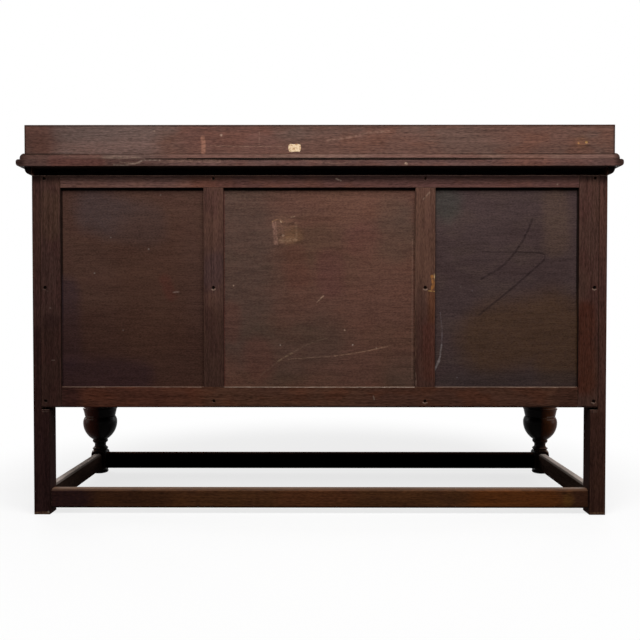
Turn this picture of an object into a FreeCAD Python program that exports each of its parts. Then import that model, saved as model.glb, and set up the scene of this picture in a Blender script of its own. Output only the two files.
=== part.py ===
import FreeCAD, Part
import math
import os

Vector = FreeCAD.Vector

# A panelled oak sideboard. Millimetres, +Z up, the front faces -Y.
# The origin is on the floor, under the middle of the top.

# Top: two moulded boards and an upstand board along the back
top_length = 1524.0
top_depth = 508.0
top_height = 914.0
upper_board = 14.5
lower_board = 17.5
edge_step = 10.0
ovolo = 12.4
bead_upper = 6.0
bead_lower = 8.0
gallery_height = 71.0
gallery_thickness = 18.0
gallery_let_in = 3.0
gallery_round = 5.0

# Where the carcase stands under the top
side_overhang = 35.0
front_overhang = 26.0
rear_overhang = 12.0
carcase_bottom = 274.0

# Bearers that lift the top, and the bed mould planted on them
bearer_height = 21.0
bearer_width = 50.0
bearer_set_in = 45.0
mould_width = 18.0
mould_height = 19.0
mould_fillet = 3.0

# Posts
rear_post = 41.0
front_post = 57.0
post_strip = 21.0
rebate_drop = 6.0

# Framed back
back_thickness = 20.0
back_stile = 51.0
back_top_rail = 31.0
back_bottom_rail = 52.0
muntin = 50.0
bay_centre = 268.0

# Framed ends
side_thickness = 20.0
side_set_in = 4.0
side_top_rail = 62.0
side_bottom_rail = 62.0

# Panels in grooves, shared by back, ends and doors
panel = 6.0
panel_recess = 8.0
groove = 9.0
panel_gap = 1.0

# Front rails, partitions, floor and shelves
front_rail = 22.0
front_top_rail = 32.0
front_bottom_rail = 38.0
partition = 28.0
floor = 16.0
shelf = 16.0
shelf_height = 250.0
cleat = 18.0
stop_gap = 0.5

# Mortise and tenon joints
tenon = 8.0
tenon_length = 20.0
tenon_shoulder = 6.0
tenon_gap = 1.0

# Stretchers
stretcher_width = 27.0
stretcher_height = 48.0
stretcher_bottom = 15.5
stretcher_chamfer = 5.0

# Turned front legs: radii and heights up the leg
pad_radius = 21.0
foot_swell = 24.3
foot_radius = 21.5
foot_height = 8.5
leg_block = 44.0
block_cap = 9.5
pommel = 15.0
ring_radius = 23.6
ring_height = 6.0
ring_depth = 2.4
ring_lift = 2.0
neck_radius = 17.0
neck_height = 17.0
fillet_radius = 23.3
fillet_height = 9.0
fillet_depth = 1.5
bulb_radius = 52.0
shoulder_rise = 18.0
quirk = 2.0
waist_radius = 46.3
flare_radius = 50.8
flare_height = 21.0
rim_height = 7.0
rim_swell = 1.7
cover_dome = 32.0
cover_neck = 22.0
cover_neck_depth = 5.0
collar_radius = 22.0
collar_height = 10.0
spigot_radius = 12.5
spigot_length = 36.0
spigot_fit = 0.2

# Back screws in counterbores
screw_radius = 2.0
screw_head_radius = 3.8
screw_head = 2.5
screw_reach = 16.0
counterbore_depth = 6.0
screw_fit = 0.2
stile_screw_inset = 11.0
top_screw_inset = 8.0
bottom_screw_inset = 16.0

# Drawers
upper_drawer = 142.0
middle_drawer = 158.0
divider = 20.0
divider_depth = 60.0
divider_housing = 6.0
runner_width = 24.0
drawer_gap = 1.2
drawer_head_gap = 1.6
drawer_lift = 0.3
drawer_front = 20.0
drawer_side = 10.0
drawer_back = 9.0
drawer_bottom = 6.0
drawer_bottom_lift = 8.0
drawer_bottom_let_in = 5.0
drawer_side_drop = 4.0
drawer_back_drop = 8.0
drawer_rear_gap = 12.0
dovetail_lap = 14.0
dovetail_count = 3
dovetail_share = 0.6
dovetail_flare = 2.2
pull_spacing = 280.0

# Fielded faces: a flat margin, then a bevel up to the field
field_margin = 14.0
field_bevel = 16.0
drawer_field = 5.0
door_field = 6.0

# Doors
door_gap = 1.6
door_thickness = 20.0
door_stile = 52.0
door_top_rail = 52.0
door_bottom_rail = 62.0
panel_mould = 12.0
panel_mould_set = 1.0
panel_mould_lip = 1.5
panel_mould_flat = 3.0

# Butt hinges
hinge_height = 60.0
hinge_inset = 80.0
knuckle = 3.5
knuckle_proud = 4.0
leaf = 1.5
leaf_gap = 0.6
leaf_width = 18.0
hinge_pin = 1.5
hinge_pin_head = 2.8
hinge_pin_head_height = 2.0
knuckle_gap = 0.3
pin_fit = 0.08

# Locks and escutcheons
lock_width = 32.0
lock_height = 60.0
lock_depth = 9.0
lock_margin = 8.0
escutcheon_width = 18.0
escutcheon_height = 30.0
escutcheon = 1.2
keyhole_radius = 2.6
keyhole_slot = 2.4
keyhole_drop = 9.0

# Pear-drop pulls
rose_radius = 17.0
rose = 2.0
rose_boss_radius = 9.0
rose_boss = 3.0
ear = 2.5
ear_radius = 4.5
pull_pin = 1.4
pull_pin_proud = 1.0
pull_reach = 12.5
drop_lug = 4.0
drop_lug_radius = 4.0
drop_lug_gap = 0.35
drop_neck = 2.0
drop_neck_length = 9.0
drop_collar = 3.2
drop_throat = 3.7
drop_waist = 5.6
drop_radius = 8.0
drop_length = 44.0
drop_tip = 2.6
pull_below_lock = 62.0

# Planes worked out from the sizes above
half_top = top_length / 2
top_front = -top_depth / 2
top_rear = top_depth / 2
half_upper = half_top - edge_step
half_gallery = half_upper - ovolo
layer_joint = top_height - upper_board
under_top = layer_joint - lower_board
carcase_top = under_top - bearer_height
half_carcase = half_top - side_overhang
front = top_front + front_overhang
rear = top_rear - rear_overhang
front_post_back = front + front_post
front_post_inner = half_carcase - front_post
rear_post_face = rear - rear_post
rear_post_inner = half_carcase - rear_post
leg_x = half_carcase - leg_block / 2
leg_y = front + front_post / 2
back_face = rear - back_thickness
half_back = half_carcase - post_strip
stile_edge = half_back - back_stile
back_panel_rear = rear - panel_recess
back_panel_front = back_panel_rear - panel
back_opening_low = carcase_bottom + back_bottom_rail
back_opening_high = carcase_top - back_top_rail
side_face = half_carcase - side_set_in
side_inner = side_face - side_thickness
side_panel_face = side_face - panel_recess
side_panel_inner = side_panel_face - panel
front_rail_back = front + front_rail
floor_top = carcase_bottom + front_bottom_rail
opening_top = carcase_top - front_top_rail
bay_edge = bay_centre - partition / 2
cupboard_edge = bay_centre + partition / 2
tongue = groove - panel_gap
stretcher_top = stretcher_bottom + stretcher_height
block_top = stretcher_top + block_cap
shelf_bottom = floor_top + shelf_height
door_back = front + door_thickness
door_outer = front_post_inner - door_gap
door_inner = cupboard_edge + door_gap
door_low = floor_top + door_gap
door_high = opening_top - door_gap
hinge_x = front_post_inner - door_gap / 2
hinge_y = front - knuckle_proud
lock_x = door_inner + door_stile / 2
lock_z = (door_low + door_high) / 2
drop_axis_y = front - pull_reach


# Small helpers for solids
def block(x0, x1, y0, y1, z0, z1):
    return Part.makeBox(x1 - x0, y1 - y0, z1 - z0, Vector(x0, y0, z0))


def rod(radius, start, travel):
    return Part.makeCylinder(radius, travel.Length, start, travel)


def prism(points, travel):
    return Part.Face(Part.makePolygon(points + points[:1])).extrude(travel)


def outline_face(start, steps, place):
    """A face inside an outline; a step is an end point, or the middle and the end of an arc."""
    edges = []
    here = place(start)
    for step in steps:
        if isinstance(step[0], tuple):
            end = place(step[1])
            edges.append(Part.Arc(here, place(step[0]), end).toShape())
        else:
            end = place(step)
            edges.append(Part.LineSegment(here, end).toShape())
        here = end
    edges.append(Part.LineSegment(here, place(start)).toShape())
    return Part.Face(Part.Wire(edges))


def turned(x, y, start, steps):
    """A solid turned about a vertical axis, from an outline in radius and height."""
    def place(point):
        return Vector(x + point[0], y, point[1])

    return outline_face(start, steps, place).revolve(Vector(x, y, 0), Vector(0, 0, 1), 360)


def swell(narrow, widest):
    """Middle of the arc from a narrow point to the widest one, where it runs straight up."""
    reach = widest[0] - narrow[0]
    climb = widest[1] - narrow[1]
    radius = (reach ** 2 + climb ** 2) / (2 * reach)
    half_angle = math.atan2(climb, radius - reach) / 2
    centre = widest[0] - radius
    return (centre + radius * math.cos(half_angle), widest[1] - radius * math.sin(half_angle))


def other_side(shape):
    return shape.mirror(Vector(0, 0, 0), Vector(1, 0, 0))


def both_sides(shape):
    return [shape, other_side(shape)]


def save(name, *shapes):
    solids = [solid for shape in shapes for solid in shape.Solids]
    whole = solids[0] if len(solids) == 1 else Part.makeCompound(solids)
    whole.exportStep("parts/" + name + ".step")


def mitred_length(corner, along, length, out, rise, outline, width, flares):
    """A moulding planted along a line, with each end square (0), or mitred out (1) or in (-1)."""
    spare = along * width

    def place(point):
        return corner - spare + out * point[0] + rise * point[1]

    strip = outline_face(*outline, place).extrude(along * (length + 2 * width))
    end = corner + along * length
    plan = [corner, end, end + spare * flares[1] + out * width, corner - spare * flares[0] + out * width]
    span = rise * (2 * width)
    return strip.common(prism([point - span for point in plan], span * 2))


# Back screws: through the back frame into the posts, the floor's rear cleat and the partitions
def screw_places():
    rows = [carcase_bottom + bottom_screw_inset,
            (back_opening_low + back_opening_high) / 2,
            carcase_top - top_screw_inset]
    columns = [half_back - stile_screw_inset, bay_centre]
    return [(side * x, z) for z in rows for x in columns for side in (1, -1)]


def screw(x, z, fit):
    seat = rear - counterbore_depth
    inward = Vector(0, -1, 0)
    head = rod(screw_head_radius + fit, Vector(x, seat, z), inward * screw_head)
    under = seat - screw_head
    shank_length = under - back_face + screw_reach + fit
    shank = rod(screw_radius + fit, Vector(x, under, z), inward * shank_length)
    return head.fuse(shank)


def screw_hole(x, z):
    mouth = rod(screw_head_radius + screw_fit, Vector(x, rear, z), Vector(0, -counterbore_depth, 0))
    return mouth.fuse(screw(x, z, screw_fit))


screw_holes = [screw_hole(x, z) for x, z in screw_places()]


# Stretcher joints, on the right: thickness runs across the stretcher
post_tenon = rear_post / 2 - tenon / 2 - 2 * tenon_gap
leg_tenon = leg_block / 2 - tenon / 2 - 2 * tenon_gap
tenon_low = stretcher_bottom + tenon_shoulder
tenon_high = stretcher_top - tenon_shoulder - stretcher_chamfer
rear_stretcher_y = rear - rear_post / 2
side_stretcher_x = half_carcase - rear_post / 2
leg_face_x = leg_x - leg_block / 2
leg_face_y = leg_y + leg_block / 2


def rear_stretcher_tenon(gap):
    y0 = rear_stretcher_y - tenon / 2
    x1 = rear_post_inner + post_tenon + gap
    return block(rear_post_inner, x1, y0, y0 + tenon, tenon_low, tenon_high)


def front_stretcher_tenon(gap):
    y0 = leg_y - tenon / 2
    x1 = leg_face_x + leg_tenon + gap
    return block(leg_face_x, x1, y0, y0 + tenon, tenon_low, tenon_high)


def side_stretcher_tenons(gap):
    x0 = side_stretcher_x - tenon / 2
    x1 = x0 + tenon
    to_rear = block(x0, x1, rear_post_face, rear_post_face + post_tenon + gap, tenon_low, tenon_high)
    to_front = block(x0, x1, leg_face_y - leg_tenon - gap, leg_face_y, tenon_low, tenon_high)
    return [to_rear, to_front]


def stretcher_section(across, up, middle):
    half = stretcher_width / 2
    shoulder = stretcher_top - stretcher_chamfer
    corners = [(-half, stretcher_bottom), (half, stretcher_bottom), (half, shoulder),
               (half - stretcher_chamfer, stretcher_top), (stretcher_chamfer - half, stretcher_top),
               (-half, shoulder)]
    return [middle + across * a + up * z for a, z in corners]


def long_stretcher(x_end, y, end_tenon):
    section = stretcher_section(Vector(0, 1, 0), Vector(0, 0, 1), Vector(-x_end, y, 0))
    rail = prism(section, Vector(2 * x_end, 0, 0))
    return rail.fuse(both_sides(end_tenon))


def side_stretcher():
    section = stretcher_section(Vector(1, 0, 0), Vector(0, 0, 1), Vector(side_stretcher_x, leg_face_y, 0))
    rail = prism(section, Vector(0, rear_post_face - leg_face_y, 0))
    return rail.fuse(side_stretcher_tenons(0))


# Front rails are tenoned into the front posts
def front_rail_tenon(z0, z1, gap):
    y0 = front + (front_rail - tenon) / 2
    x1 = front_post_inner + tenon_length + gap
    return block(front_post_inner, x1, y0, y0 + tenon, z0 + tenon_shoulder, z1 - tenon_shoulder)


def front_rail_between(z0, z1):
    rail = block(-front_post_inner, front_post_inner, front, front_rail_back, z0, z1)
    return rail.fuse(both_sides(front_rail_tenon(z0, z1, 0)))


# Posts and legs, on the right
def side_groove(y0, y1):
    return block(side_panel_inner, side_panel_face, y0, y1, carcase_bottom, carcase_top)


def rear_post_right():
    post = block(rear_post_inner, half_carcase, rear_post_face, rear, 0, carcase_top)
    rebate = block(rear_post_inner, half_back, back_face, rear, carcase_bottom - rebate_drop, carcase_top)
    slot = side_groove(rear_post_face, rear_post_face + groove)
    mortises = [rear_stretcher_tenon(tenon_gap), side_stretcher_tenons(tenon_gap)[0]]
    return post.cut([rebate, slot] + mortises + screw_holes)


def front_post_right():
    post = block(front_post_inner, half_carcase, front, front_post_back, carcase_bottom, carcase_top)
    slot = side_groove(front_post_back - groove, front_post_back)
    mortises = [front_rail_tenon(opening_top, carcase_top, tenon_gap),
                front_rail_tenon(carcase_bottom, floor_top, tenon_gap)]
    socket_depth = Vector(0, 0, spigot_length + tenon_gap)
    socket = rod(spigot_radius + spigot_fit, Vector(leg_x, leg_y, carcase_bottom), socket_depth)
    recesses = [hinge_leaf_space(z, 1) for z in hinge_heights()]
    return post.cut([slot, socket] + mortises + recesses)


def front_leg_right():
    """Turned leg: pad foot, block, ring, neck, cup, quirk, flared cover and collar."""
    foot_high = (foot_radius, foot_height)
    ring_low = (ring_radius - ring_depth, block_top + ring_lift)
    ring_high = (ring_low[0], ring_low[1] + ring_height)
    neck_high = (fillet_radius - fillet_depth, ring_high[1] + neck_height)
    cup_low = (neck_high[0], neck_high[1] + fillet_height)
    collar_low = (collar_radius - quirk, carcase_bottom - collar_height)
    dome_high = (collar_radius, collar_low[1] - cover_neck)
    rim_high = (flare_radius - rim_swell, dome_high[1] - cover_dome)
    rim_low = (flare_radius, rim_high[1] - rim_height)
    waist = (waist_radius, rim_low[1] - flare_height)
    shoulder = (waist_radius, waist[1] - quirk)
    # The cup takes up the height that is left
    cup_wide = (bulb_radius, shoulder[1] - shoulder_rise)
    outline = [
        (pad_radius, 0),
        ((foot_swell, foot_height / 2), foot_high),
        (foot_radius, foot_height + pommel),
        (foot_radius - quirk, block_top),
        ring_low,
        ((ring_radius, (ring_low[1] + ring_high[1]) / 2), ring_high),
        ((neck_radius, (ring_high[1] + neck_high[1]) / 2), neck_high),
        ((fillet_radius, (neck_high[1] + cup_low[1]) / 2), cup_low),
        (swell(cup_low, cup_wide), cup_wide),
        (swell(shoulder, cup_wide), shoulder),
        (waist_radius - quirk, (shoulder[1] + waist[1]) / 2),
        waist,
        rim_low,
        ((flare_radius + rim_swell, (rim_low[1] + rim_high[1]) / 2), rim_high),
        (swell(dome_high, rim_high), dome_high),
        ((collar_radius - cover_neck_depth, (dome_high[1] + collar_low[1]) / 2), collar_low),
        (collar_radius, collar_low[1] + quirk),
        (collar_radius, carcase_bottom),
        (spigot_radius, carcase_bottom),
        (spigot_radius, carcase_bottom + spigot_length),
        (0, carcase_bottom + spigot_length),
    ]
    spindle = turned(leg_x, leg_y, (0, 0), outline)
    mortises = [front_stretcher_tenon(tenon_gap), side_stretcher_tenons(tenon_gap)[1]]
    return spindle.fuse(leg_block_right()).cut(mortises)


def leg_block_right():
    """The square block between the foot and the ring, with its corners turned off at both ends."""
    half = leg_block / 2
    corner = half * math.sqrt(2)
    square = block(leg_x - half, leg_x + half, leg_y - half, leg_y + half, foot_height, block_top)
    low_turn = (corner, foot_height + pommel)
    high_turn = (corner, block_top - pommel)
    turning = turned(leg_x, leg_y, (0, foot_height), [
        (foot_radius, foot_height),
        (swell((foot_radius, foot_height), low_turn), low_turn),
        high_turn,
        (swell((foot_radius, block_top), high_turn), (foot_radius, block_top)),
        (0, block_top)])
    return square.common(turning)


# Framed back
def back_groove(x0, x1, z0, z1):
    return block(x0, x1, back_panel_front, back_panel_rear, z0, z1)


def back_stile_right():
    stile = block(stile_edge, half_back, back_face, rear, carcase_bottom, carcase_top)
    slot = back_groove(stile_edge, stile_edge + groove, carcase_bottom, carcase_top)
    return stile.cut([slot] + screw_holes)


def back_rail(z0, z1, slot_low):
    rail = block(-stile_edge, stile_edge, back_face, rear, z0, z1)
    tongues = both_sides(back_groove(stile_edge, stile_edge + tongue, z0, z1))
    slot = back_groove(-stile_edge - tongue, stile_edge + tongue, slot_low, slot_low + groove)
    return rail.fuse(tongues).cut([slot] + screw_holes)


def back_muntin_right():
    low = bay_centre - muntin / 2
    high = bay_centre + muntin / 2
    post = block(low, high, back_face, rear, back_opening_low, back_opening_high)
    tongues = back_groove(low, high, back_opening_low - tongue, back_opening_high + tongue)
    floor_to_top = (back_opening_low - tongue, back_opening_high + tongue)
    slots = [back_groove(low, low + groove, *floor_to_top), back_groove(high - groove, high, *floor_to_top)]
    return post.fuse(tongues).cut(slots + screw_holes)


def back_panel_between(x0, x1):
    return back_groove(x0 - tongue, x1 + tongue, back_opening_low - tongue, back_opening_high + tongue)


# Framed ends, on the right
def side_rail(z0, z1, slot_low):
    rail = block(side_inner, side_face, front_post_back, rear_post_face, z0, z1)
    low = front_post_back - tongue
    high = rear_post_face + tongue
    tongues = block(side_panel_inner, side_panel_face, low, high, z0, z1)
    slot = block(side_panel_inner, side_panel_face, low, high, slot_low, slot_low + groove)
    return rail.fuse(tongues).cut(slot)


def side_rails_right():
    lower_top = carcase_bottom + side_bottom_rail
    upper_low = carcase_top - side_top_rail
    lower = side_rail(carcase_bottom, lower_top, lower_top - groove)
    upper = side_rail(upper_low, carcase_top, upper_low)
    return [lower, upper]


def side_panel_right():
    low = carcase_bottom + side_bottom_rail - tongue
    high = carcase_top - side_top_rail + tongue
    front_end = front_post_back - tongue
    rear_end = rear_post_face + tongue
    return block(side_panel_inner, side_panel_face, front_end, rear_end, low, high)


# Inside the carcase
def floor_board():
    under = floor_top - floor
    board = block(-side_inner, side_inner, front_rail_back, back_face, under, floor_top)
    at_front = block(front_post_inner, side_inner, front_rail_back, front_post_back, under, floor_top)
    at_rear = block(rear_post_inner, side_inner, rear_post_face, back_face, under, floor_top)
    return board.cut(both_sides(at_front) + both_sides(at_rear))


def partition_right():
    board = block(bay_edge, cupboard_edge, front, back_face, floor_top, carcase_top)
    notch = block(bay_edge, cupboard_edge, front, front_rail_back, opening_top, carcase_top)
    housings = [divider_housing_right(z) for z in divider_heights()]
    return board.cut([notch] + housings + screw_holes)


def cupboard_shelf_right():
    board = block(cupboard_edge, side_panel_inner, door_back + stop_gap, back_face, shelf_bottom,
                  shelf_bottom + shelf)
    at_front = block(front_post_inner, side_panel_inner, front, front_post_back, shelf_bottom,
                     shelf_bottom + shelf)
    at_rear = block(rear_post_inner, side_panel_inner, rear_post_face, back_face, shelf_bottom,
                    shelf_bottom + shelf)
    return board.cut([at_front, at_rear])


def support_cleats():
    under_floor = floor_top - floor
    floor_low = under_floor - cleat
    shelf_low = shelf_bottom - cleat
    between_posts = (front_post_back, rear_post_face)
    floor_side = block(side_inner - cleat, side_inner, *between_posts, floor_low, under_floor)
    shelf_side = block(side_panel_inner - cleat, side_panel_inner, *between_posts, shelf_low, shelf_bottom)
    shelf_middle = block(cupboard_edge, cupboard_edge + cleat, *between_posts, shelf_low, shelf_bottom)
    at_front = block(-front_post_inner, front_post_inner, front_rail_back, front_rail_back + cleat,
                     floor_low, under_floor)
    at_rear = block(-rear_post_inner, rear_post_inner, back_face - cleat, back_face, floor_low, under_floor)
    at_rear = at_rear.cut(screw_holes)
    return both_sides(floor_side) + both_sides(shelf_side) + both_sides(shelf_middle) + [at_front, at_rear]


# Top
def edges_at(solid, z):
    """Front and end edges of a board at one height, leaving the flat rear edge alone."""
    tolerance = 0.01
    found = []
    for edge in solid.Edges:
        box = edge.BoundBox
        level = abs(box.ZMin - z) < tolerance and abs(box.ZMax - z) < tolerance
        if level and box.YMin < top_rear - tolerance:
            found.append(edge)
    return found


def top_lower_board():
    board = block(-half_top, half_top, top_front, top_rear, under_top, layer_joint)
    board = board.makeFillet(bead_upper, edges_at(board, layer_joint))
    return board.makeFillet(bead_lower, edges_at(board, under_top))


def top_upper_board():
    board = block(-half_upper, half_upper, top_front + edge_step, top_rear, layer_joint, top_height)
    board = board.makeFillet(ovolo, edges_at(board, top_height))
    seat = block(-half_gallery, half_gallery, top_rear - gallery_thickness, top_rear,
                 top_height - gallery_let_in, top_height)
    return board.cut(seat)


def gallery_board():
    head = top_height + gallery_height
    board = block(-half_gallery, half_gallery, top_rear - gallery_thickness, top_rear,
                  top_height - gallery_let_in, head)
    front_face = top_rear - gallery_thickness
    arris = [edge for edge in board.Edges
             if edge.BoundBox.ZMin > top_height and edge.BoundBox.YMax < front_face + gallery_round]
    return board.makeFillet(gallery_round, arris)


def top_bearers():
    inner = half_carcase - bearer_width
    rear_end = rear - bearer_set_in
    front_end = front + bearer_width
    at_front = block(-half_carcase, half_carcase, front, front_end, carcase_top, under_top)
    at_rear = block(-inner, inner, rear_end - bearer_width, rear_end, carcase_top, under_top)
    at_side = block(inner, half_carcase, front_end, rear_end, carcase_top, under_top)
    return [at_front, at_rear] + both_sides(at_side)


def bed_mould():
    up = Vector(0, 0, 1)
    low = -mould_height
    toe = (mould_fillet, low)
    nose = (mould_width, -mould_fillet)
    outline = ((0, low), [toe, (swell(toe, nose), nose), (mould_width, 0), (0, 0)])
    corner = Vector(half_carcase, front, under_top)
    left_corner = Vector(-half_carcase, front, under_top)
    along_front = mitred_length(left_corner, Vector(1, 0, 0), 2 * half_carcase, Vector(0, -1, 0), up,
                                outline, mould_width, (1, 1))
    along_side = mitred_length(corner, Vector(0, 1, 0), rear - front, Vector(1, 0, 0), up, outline,
                               mould_width, (1, 0))
    return [along_front] + both_sides(along_side)


# Fielded faces, for drawer fronts and door panels
def raised_field(x0, x1, z0, z1, y_back, rise):
    def ring(inset, y):
        corners = [(x0 + inset, z0 + inset), (x1 - inset, z0 + inset), (x1 - inset, z1 - inset),
                   (x0 + inset, z1 - inset)]
        points = [Vector(x, y, z) for x, z in corners]
        return Part.makePolygon(points + points[:1])

    foot = ring(field_margin, y_back)
    field = ring(field_margin + field_bevel, y_back - rise)
    return Part.makeLoft([foot, field], True, True)


# Drawers
lower_drawer_top = opening_top - upper_drawer - middle_drawer - 2 * divider
middle_drawer_low = lower_drawer_top + divider
upper_drawer_low = middle_drawer_low + middle_drawer + divider
drawer_openings = {
    "upper": (upper_drawer_low, opening_top),
    "middle": (middle_drawer_low, middle_drawer_low + middle_drawer),
    "lower": (floor_top, lower_drawer_top),
}
drawer_half = bay_edge - drawer_gap
drawer_inner = drawer_half - drawer_side
drawer_shoulder = front + drawer_front
drawer_rear = back_face - drawer_rear_gap


def divider_heights():
    return [lower_drawer_top, upper_drawer_low - divider]


def divider_housing_right(z):
    return block(bay_edge, bay_edge + divider_housing, front, front + divider_depth, z, z + divider)


def drawer_dividers():
    reach = bay_edge + divider_housing
    return [block(-reach, reach, front, front + divider_depth, z, z + divider) for z in divider_heights()]


def drawer_runners():
    """Strips behind the dividers, and kickers behind the top rail that stop a drawer from tipping."""
    x0 = bay_edge - runner_width
    behind_divider = front + divider_depth
    strips = [block(x0, bay_edge, behind_divider, back_face, z, z + divider) for z in divider_heights()]
    strips.append(block(x0, bay_edge, front_rail_back, back_face, opening_top, opening_top + divider))
    return [piece for strip in strips for piece in both_sides(strip)]


def dovetails(z0, z1):
    """Tails on the front end of the right drawer side, which fit sockets in the drawer front."""
    pitch = (z1 - z0) / dovetail_count
    narrow = pitch * dovetail_share / 2
    tails = []
    for index in range(dovetail_count):
        middle = z0 + pitch * (index + 0.5)
        wide = narrow + dovetail_flare
        root = drawer_shoulder
        tip = drawer_shoulder - dovetail_lap
        plan = [(root, middle - narrow), (root, middle + narrow),
                (tip, middle + wide), (tip, middle - wide)]
        points = [Vector(drawer_inner, y, z) for y, z in plan]
        tails.append(prism(points, Vector(drawer_side, 0, 0)))
    return tails


def drawer_bottom_board(low):
    reach = drawer_inner + drawer_bottom_let_in
    z = low + drawer_bottom_lift
    return block(-reach, reach, drawer_shoulder - drawer_bottom_let_in, drawer_rear, z, z + drawer_bottom)


def drawer_pieces(opening):
    low = opening[0] + drawer_lift
    high = opening[1] - drawer_head_gap
    side_high = high - drawer_side_drop
    bottom = drawer_bottom_board(low)
    tails = dovetails(low, side_high)
    side = block(drawer_inner, drawer_half, drawer_shoulder, drawer_rear, low, side_high)
    side = side.fuse(tails).cut(bottom)
    face = block(-drawer_half, drawer_half, front + drawer_field, drawer_shoulder, low, high)
    face = face.fuse(raised_field(-drawer_half, drawer_half, low, high, front + drawer_field, drawer_field))
    sockets = [piece for tail in tails for piece in both_sides(tail)]
    bottom_top = low + drawer_bottom_lift + drawer_bottom
    back = block(-drawer_inner, drawer_inner, drawer_rear - drawer_back, drawer_rear, bottom_top,
                 side_high - drawer_back_drop)
    return face.cut(sockets + [bottom]), both_sides(side) + [back, bottom]


def drawer_pull_places(opening):
    z = (opening[0] + opening[1]) / 2
    return [(-pull_spacing / 2, z), (pull_spacing / 2, z)]


# Doors, on the right
def door_groove(x0, x1, z0, z1):
    y0 = front + panel_recess
    return block(x0, x1, y0, y0 + panel, z0, z1)


def door_opening():
    return (door_inner + door_stile, door_outer - door_stile, door_low + door_bottom_rail,
            door_high - door_top_rail)


def door_frame_right():
    x0, x1, z0, z1 = door_opening()
    inner = block(door_inner, x0, front, door_back, door_low, door_high)
    outer = block(x1, door_outer, front, door_back, door_low, door_high)
    slot = door_groove(x0 - groove, x0, door_low, door_high)
    inner = inner.cut([slot, lock_case_right(), keyway_right()])
    leaves = [hinge_leaf_space(z, -1) for z in hinge_heights()]
    outer = outer.cut([door_groove(x1, x1 + groove, door_low, door_high)] + leaves)
    rails = []
    for low, high, slot_low in [(door_low, z0, z0 - groove), (z1, door_high, z1)]:
        rail = block(x0, x1, front, door_back, low, high)
        tongues = door_groove(x0 - tongue, x1 + tongue, low, high)
        slot = door_groove(x0 - tongue, x1 + tongue, slot_low, slot_low + groove)
        rails.append(rail.fuse(tongues).cut(slot))
    return [inner, outer] + rails


def door_panel_right():
    x0, x1, z0, z1 = door_opening()
    sheet = door_groove(x0 - tongue, x1 + tongue, z0 - tongue, z1 + tongue)
    return sheet.fuse(raised_field(x0 + panel_mould, x1 - panel_mould, z0 + panel_mould, z1 - panel_mould,
                                   front + panel_recess, door_field))


def door_moulding_right():
    """Four mitred lengths that frame the panel; the outline runs from the frame down to the panel."""
    x0, x1, z0, z1 = door_opening()
    depth = panel_recess - panel_mould_set
    toe = (panel_mould, panel_mould_lip)
    crown = (panel_mould_flat, depth)
    outline = ((0, 0), [(panel_mould, 0), toe, (swell(crown, toe), crown), (0, depth)])
    y = front + panel_recess
    sides = [(Vector(x0, y, z0), Vector(1, 0, 0), x1 - x0, Vector(0, 0, 1)),
             (Vector(x1, y, z0), Vector(0, 0, 1), z1 - z0, Vector(-1, 0, 0)),
             (Vector(x1, y, z1), Vector(-1, 0, 0), x1 - x0, Vector(0, 0, -1)),
             (Vector(x0, y, z1), Vector(0, 0, -1), z1 - z0, Vector(1, 0, 0))]
    return [mitred_length(corner, along, length, out, Vector(0, -1, 0), outline, panel_mould, (-1, -1))
            for corner, along, length, out in sides]


# Butt hinges, on the right: hand is 1 for the post's leaf and -1 for the door's
def hinge_heights():
    return [door_low + hinge_inset, door_high - hinge_inset]


def hinge_leaf_space(z_middle, hand):
    near = hinge_x + hand * leaf_gap / 2
    far = near + hand * leaf
    return block(min(near, far), max(near, far), hinge_y, front + leaf_width,
                 z_middle - hinge_height / 2, z_middle + hinge_height / 2)


def barrel(radius, z0, z1):
    return rod(radius, Vector(hinge_x, hinge_y, z0), Vector(0, 0, z1 - z0))


def hinge_leaf(z_middle, hand):
    low = z_middle - hinge_height / 2
    third = hinge_height / 3
    outer_spans = [(low, low + third), (low + 2 * third, low + hinge_height)]
    middle_span = [(low + third + knuckle_gap, low + 2 * third - knuckle_gap)]
    own = outer_spans if hand > 0 else middle_span
    foreign = middle_span if hand > 0 else outer_spans
    plate = hinge_leaf_space(z_middle, hand).cut(
        [barrel(knuckle + knuckle_gap, z0 - knuckle_gap, z1 + knuckle_gap) for z0, z1 in foreign])
    knuckles = [barrel(knuckle, z0, z1) for z0, z1 in own]
    bore = barrel(hinge_pin + pin_fit, low, low + hinge_height)
    return plate.fuse(knuckles).cut(bore)


def hinge_pin_solid(z_middle):
    low = z_middle - hinge_height / 2
    high = z_middle + hinge_height / 2
    heads = [barrel(hinge_pin_head, low - hinge_pin_head_height, low),
             barrel(hinge_pin_head, high, high + hinge_pin_head_height)]
    return barrel(hinge_pin, low, high).fuse(heads)


# Locks, on the right
def lock_case_right():
    x0 = door_inner + lock_margin
    return block(x0, x0 + lock_width, door_back - lock_depth, door_back, lock_z - lock_height / 2,
                 lock_z + lock_height / 2)


def keyway_right():
    inward = Vector(0, door_thickness - lock_depth + escutcheon, 0)
    start = Vector(lock_x, front - escutcheon, lock_z)
    slot = block(lock_x - keyhole_slot / 2, lock_x + keyhole_slot / 2, start.y, start.y + inward.y,
                 lock_z - keyhole_drop, lock_z)
    return rod(keyhole_radius, start, inward).fuse(slot)


def escutcheon_right():
    straight = (escutcheon_height - escutcheon_width) / 2
    radius = escutcheon_width / 2
    away = Vector(0, -escutcheon, 0)
    plate = block(lock_x - radius, lock_x + radius, front - escutcheon, front,
                  lock_z - straight, lock_z + straight)
    caps = [rod(radius, Vector(lock_x, front, lock_z + side * straight), away) for side in (1, -1)]
    return plate.fuse(caps).cut(keyway_right()).removeSplitter()


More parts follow.
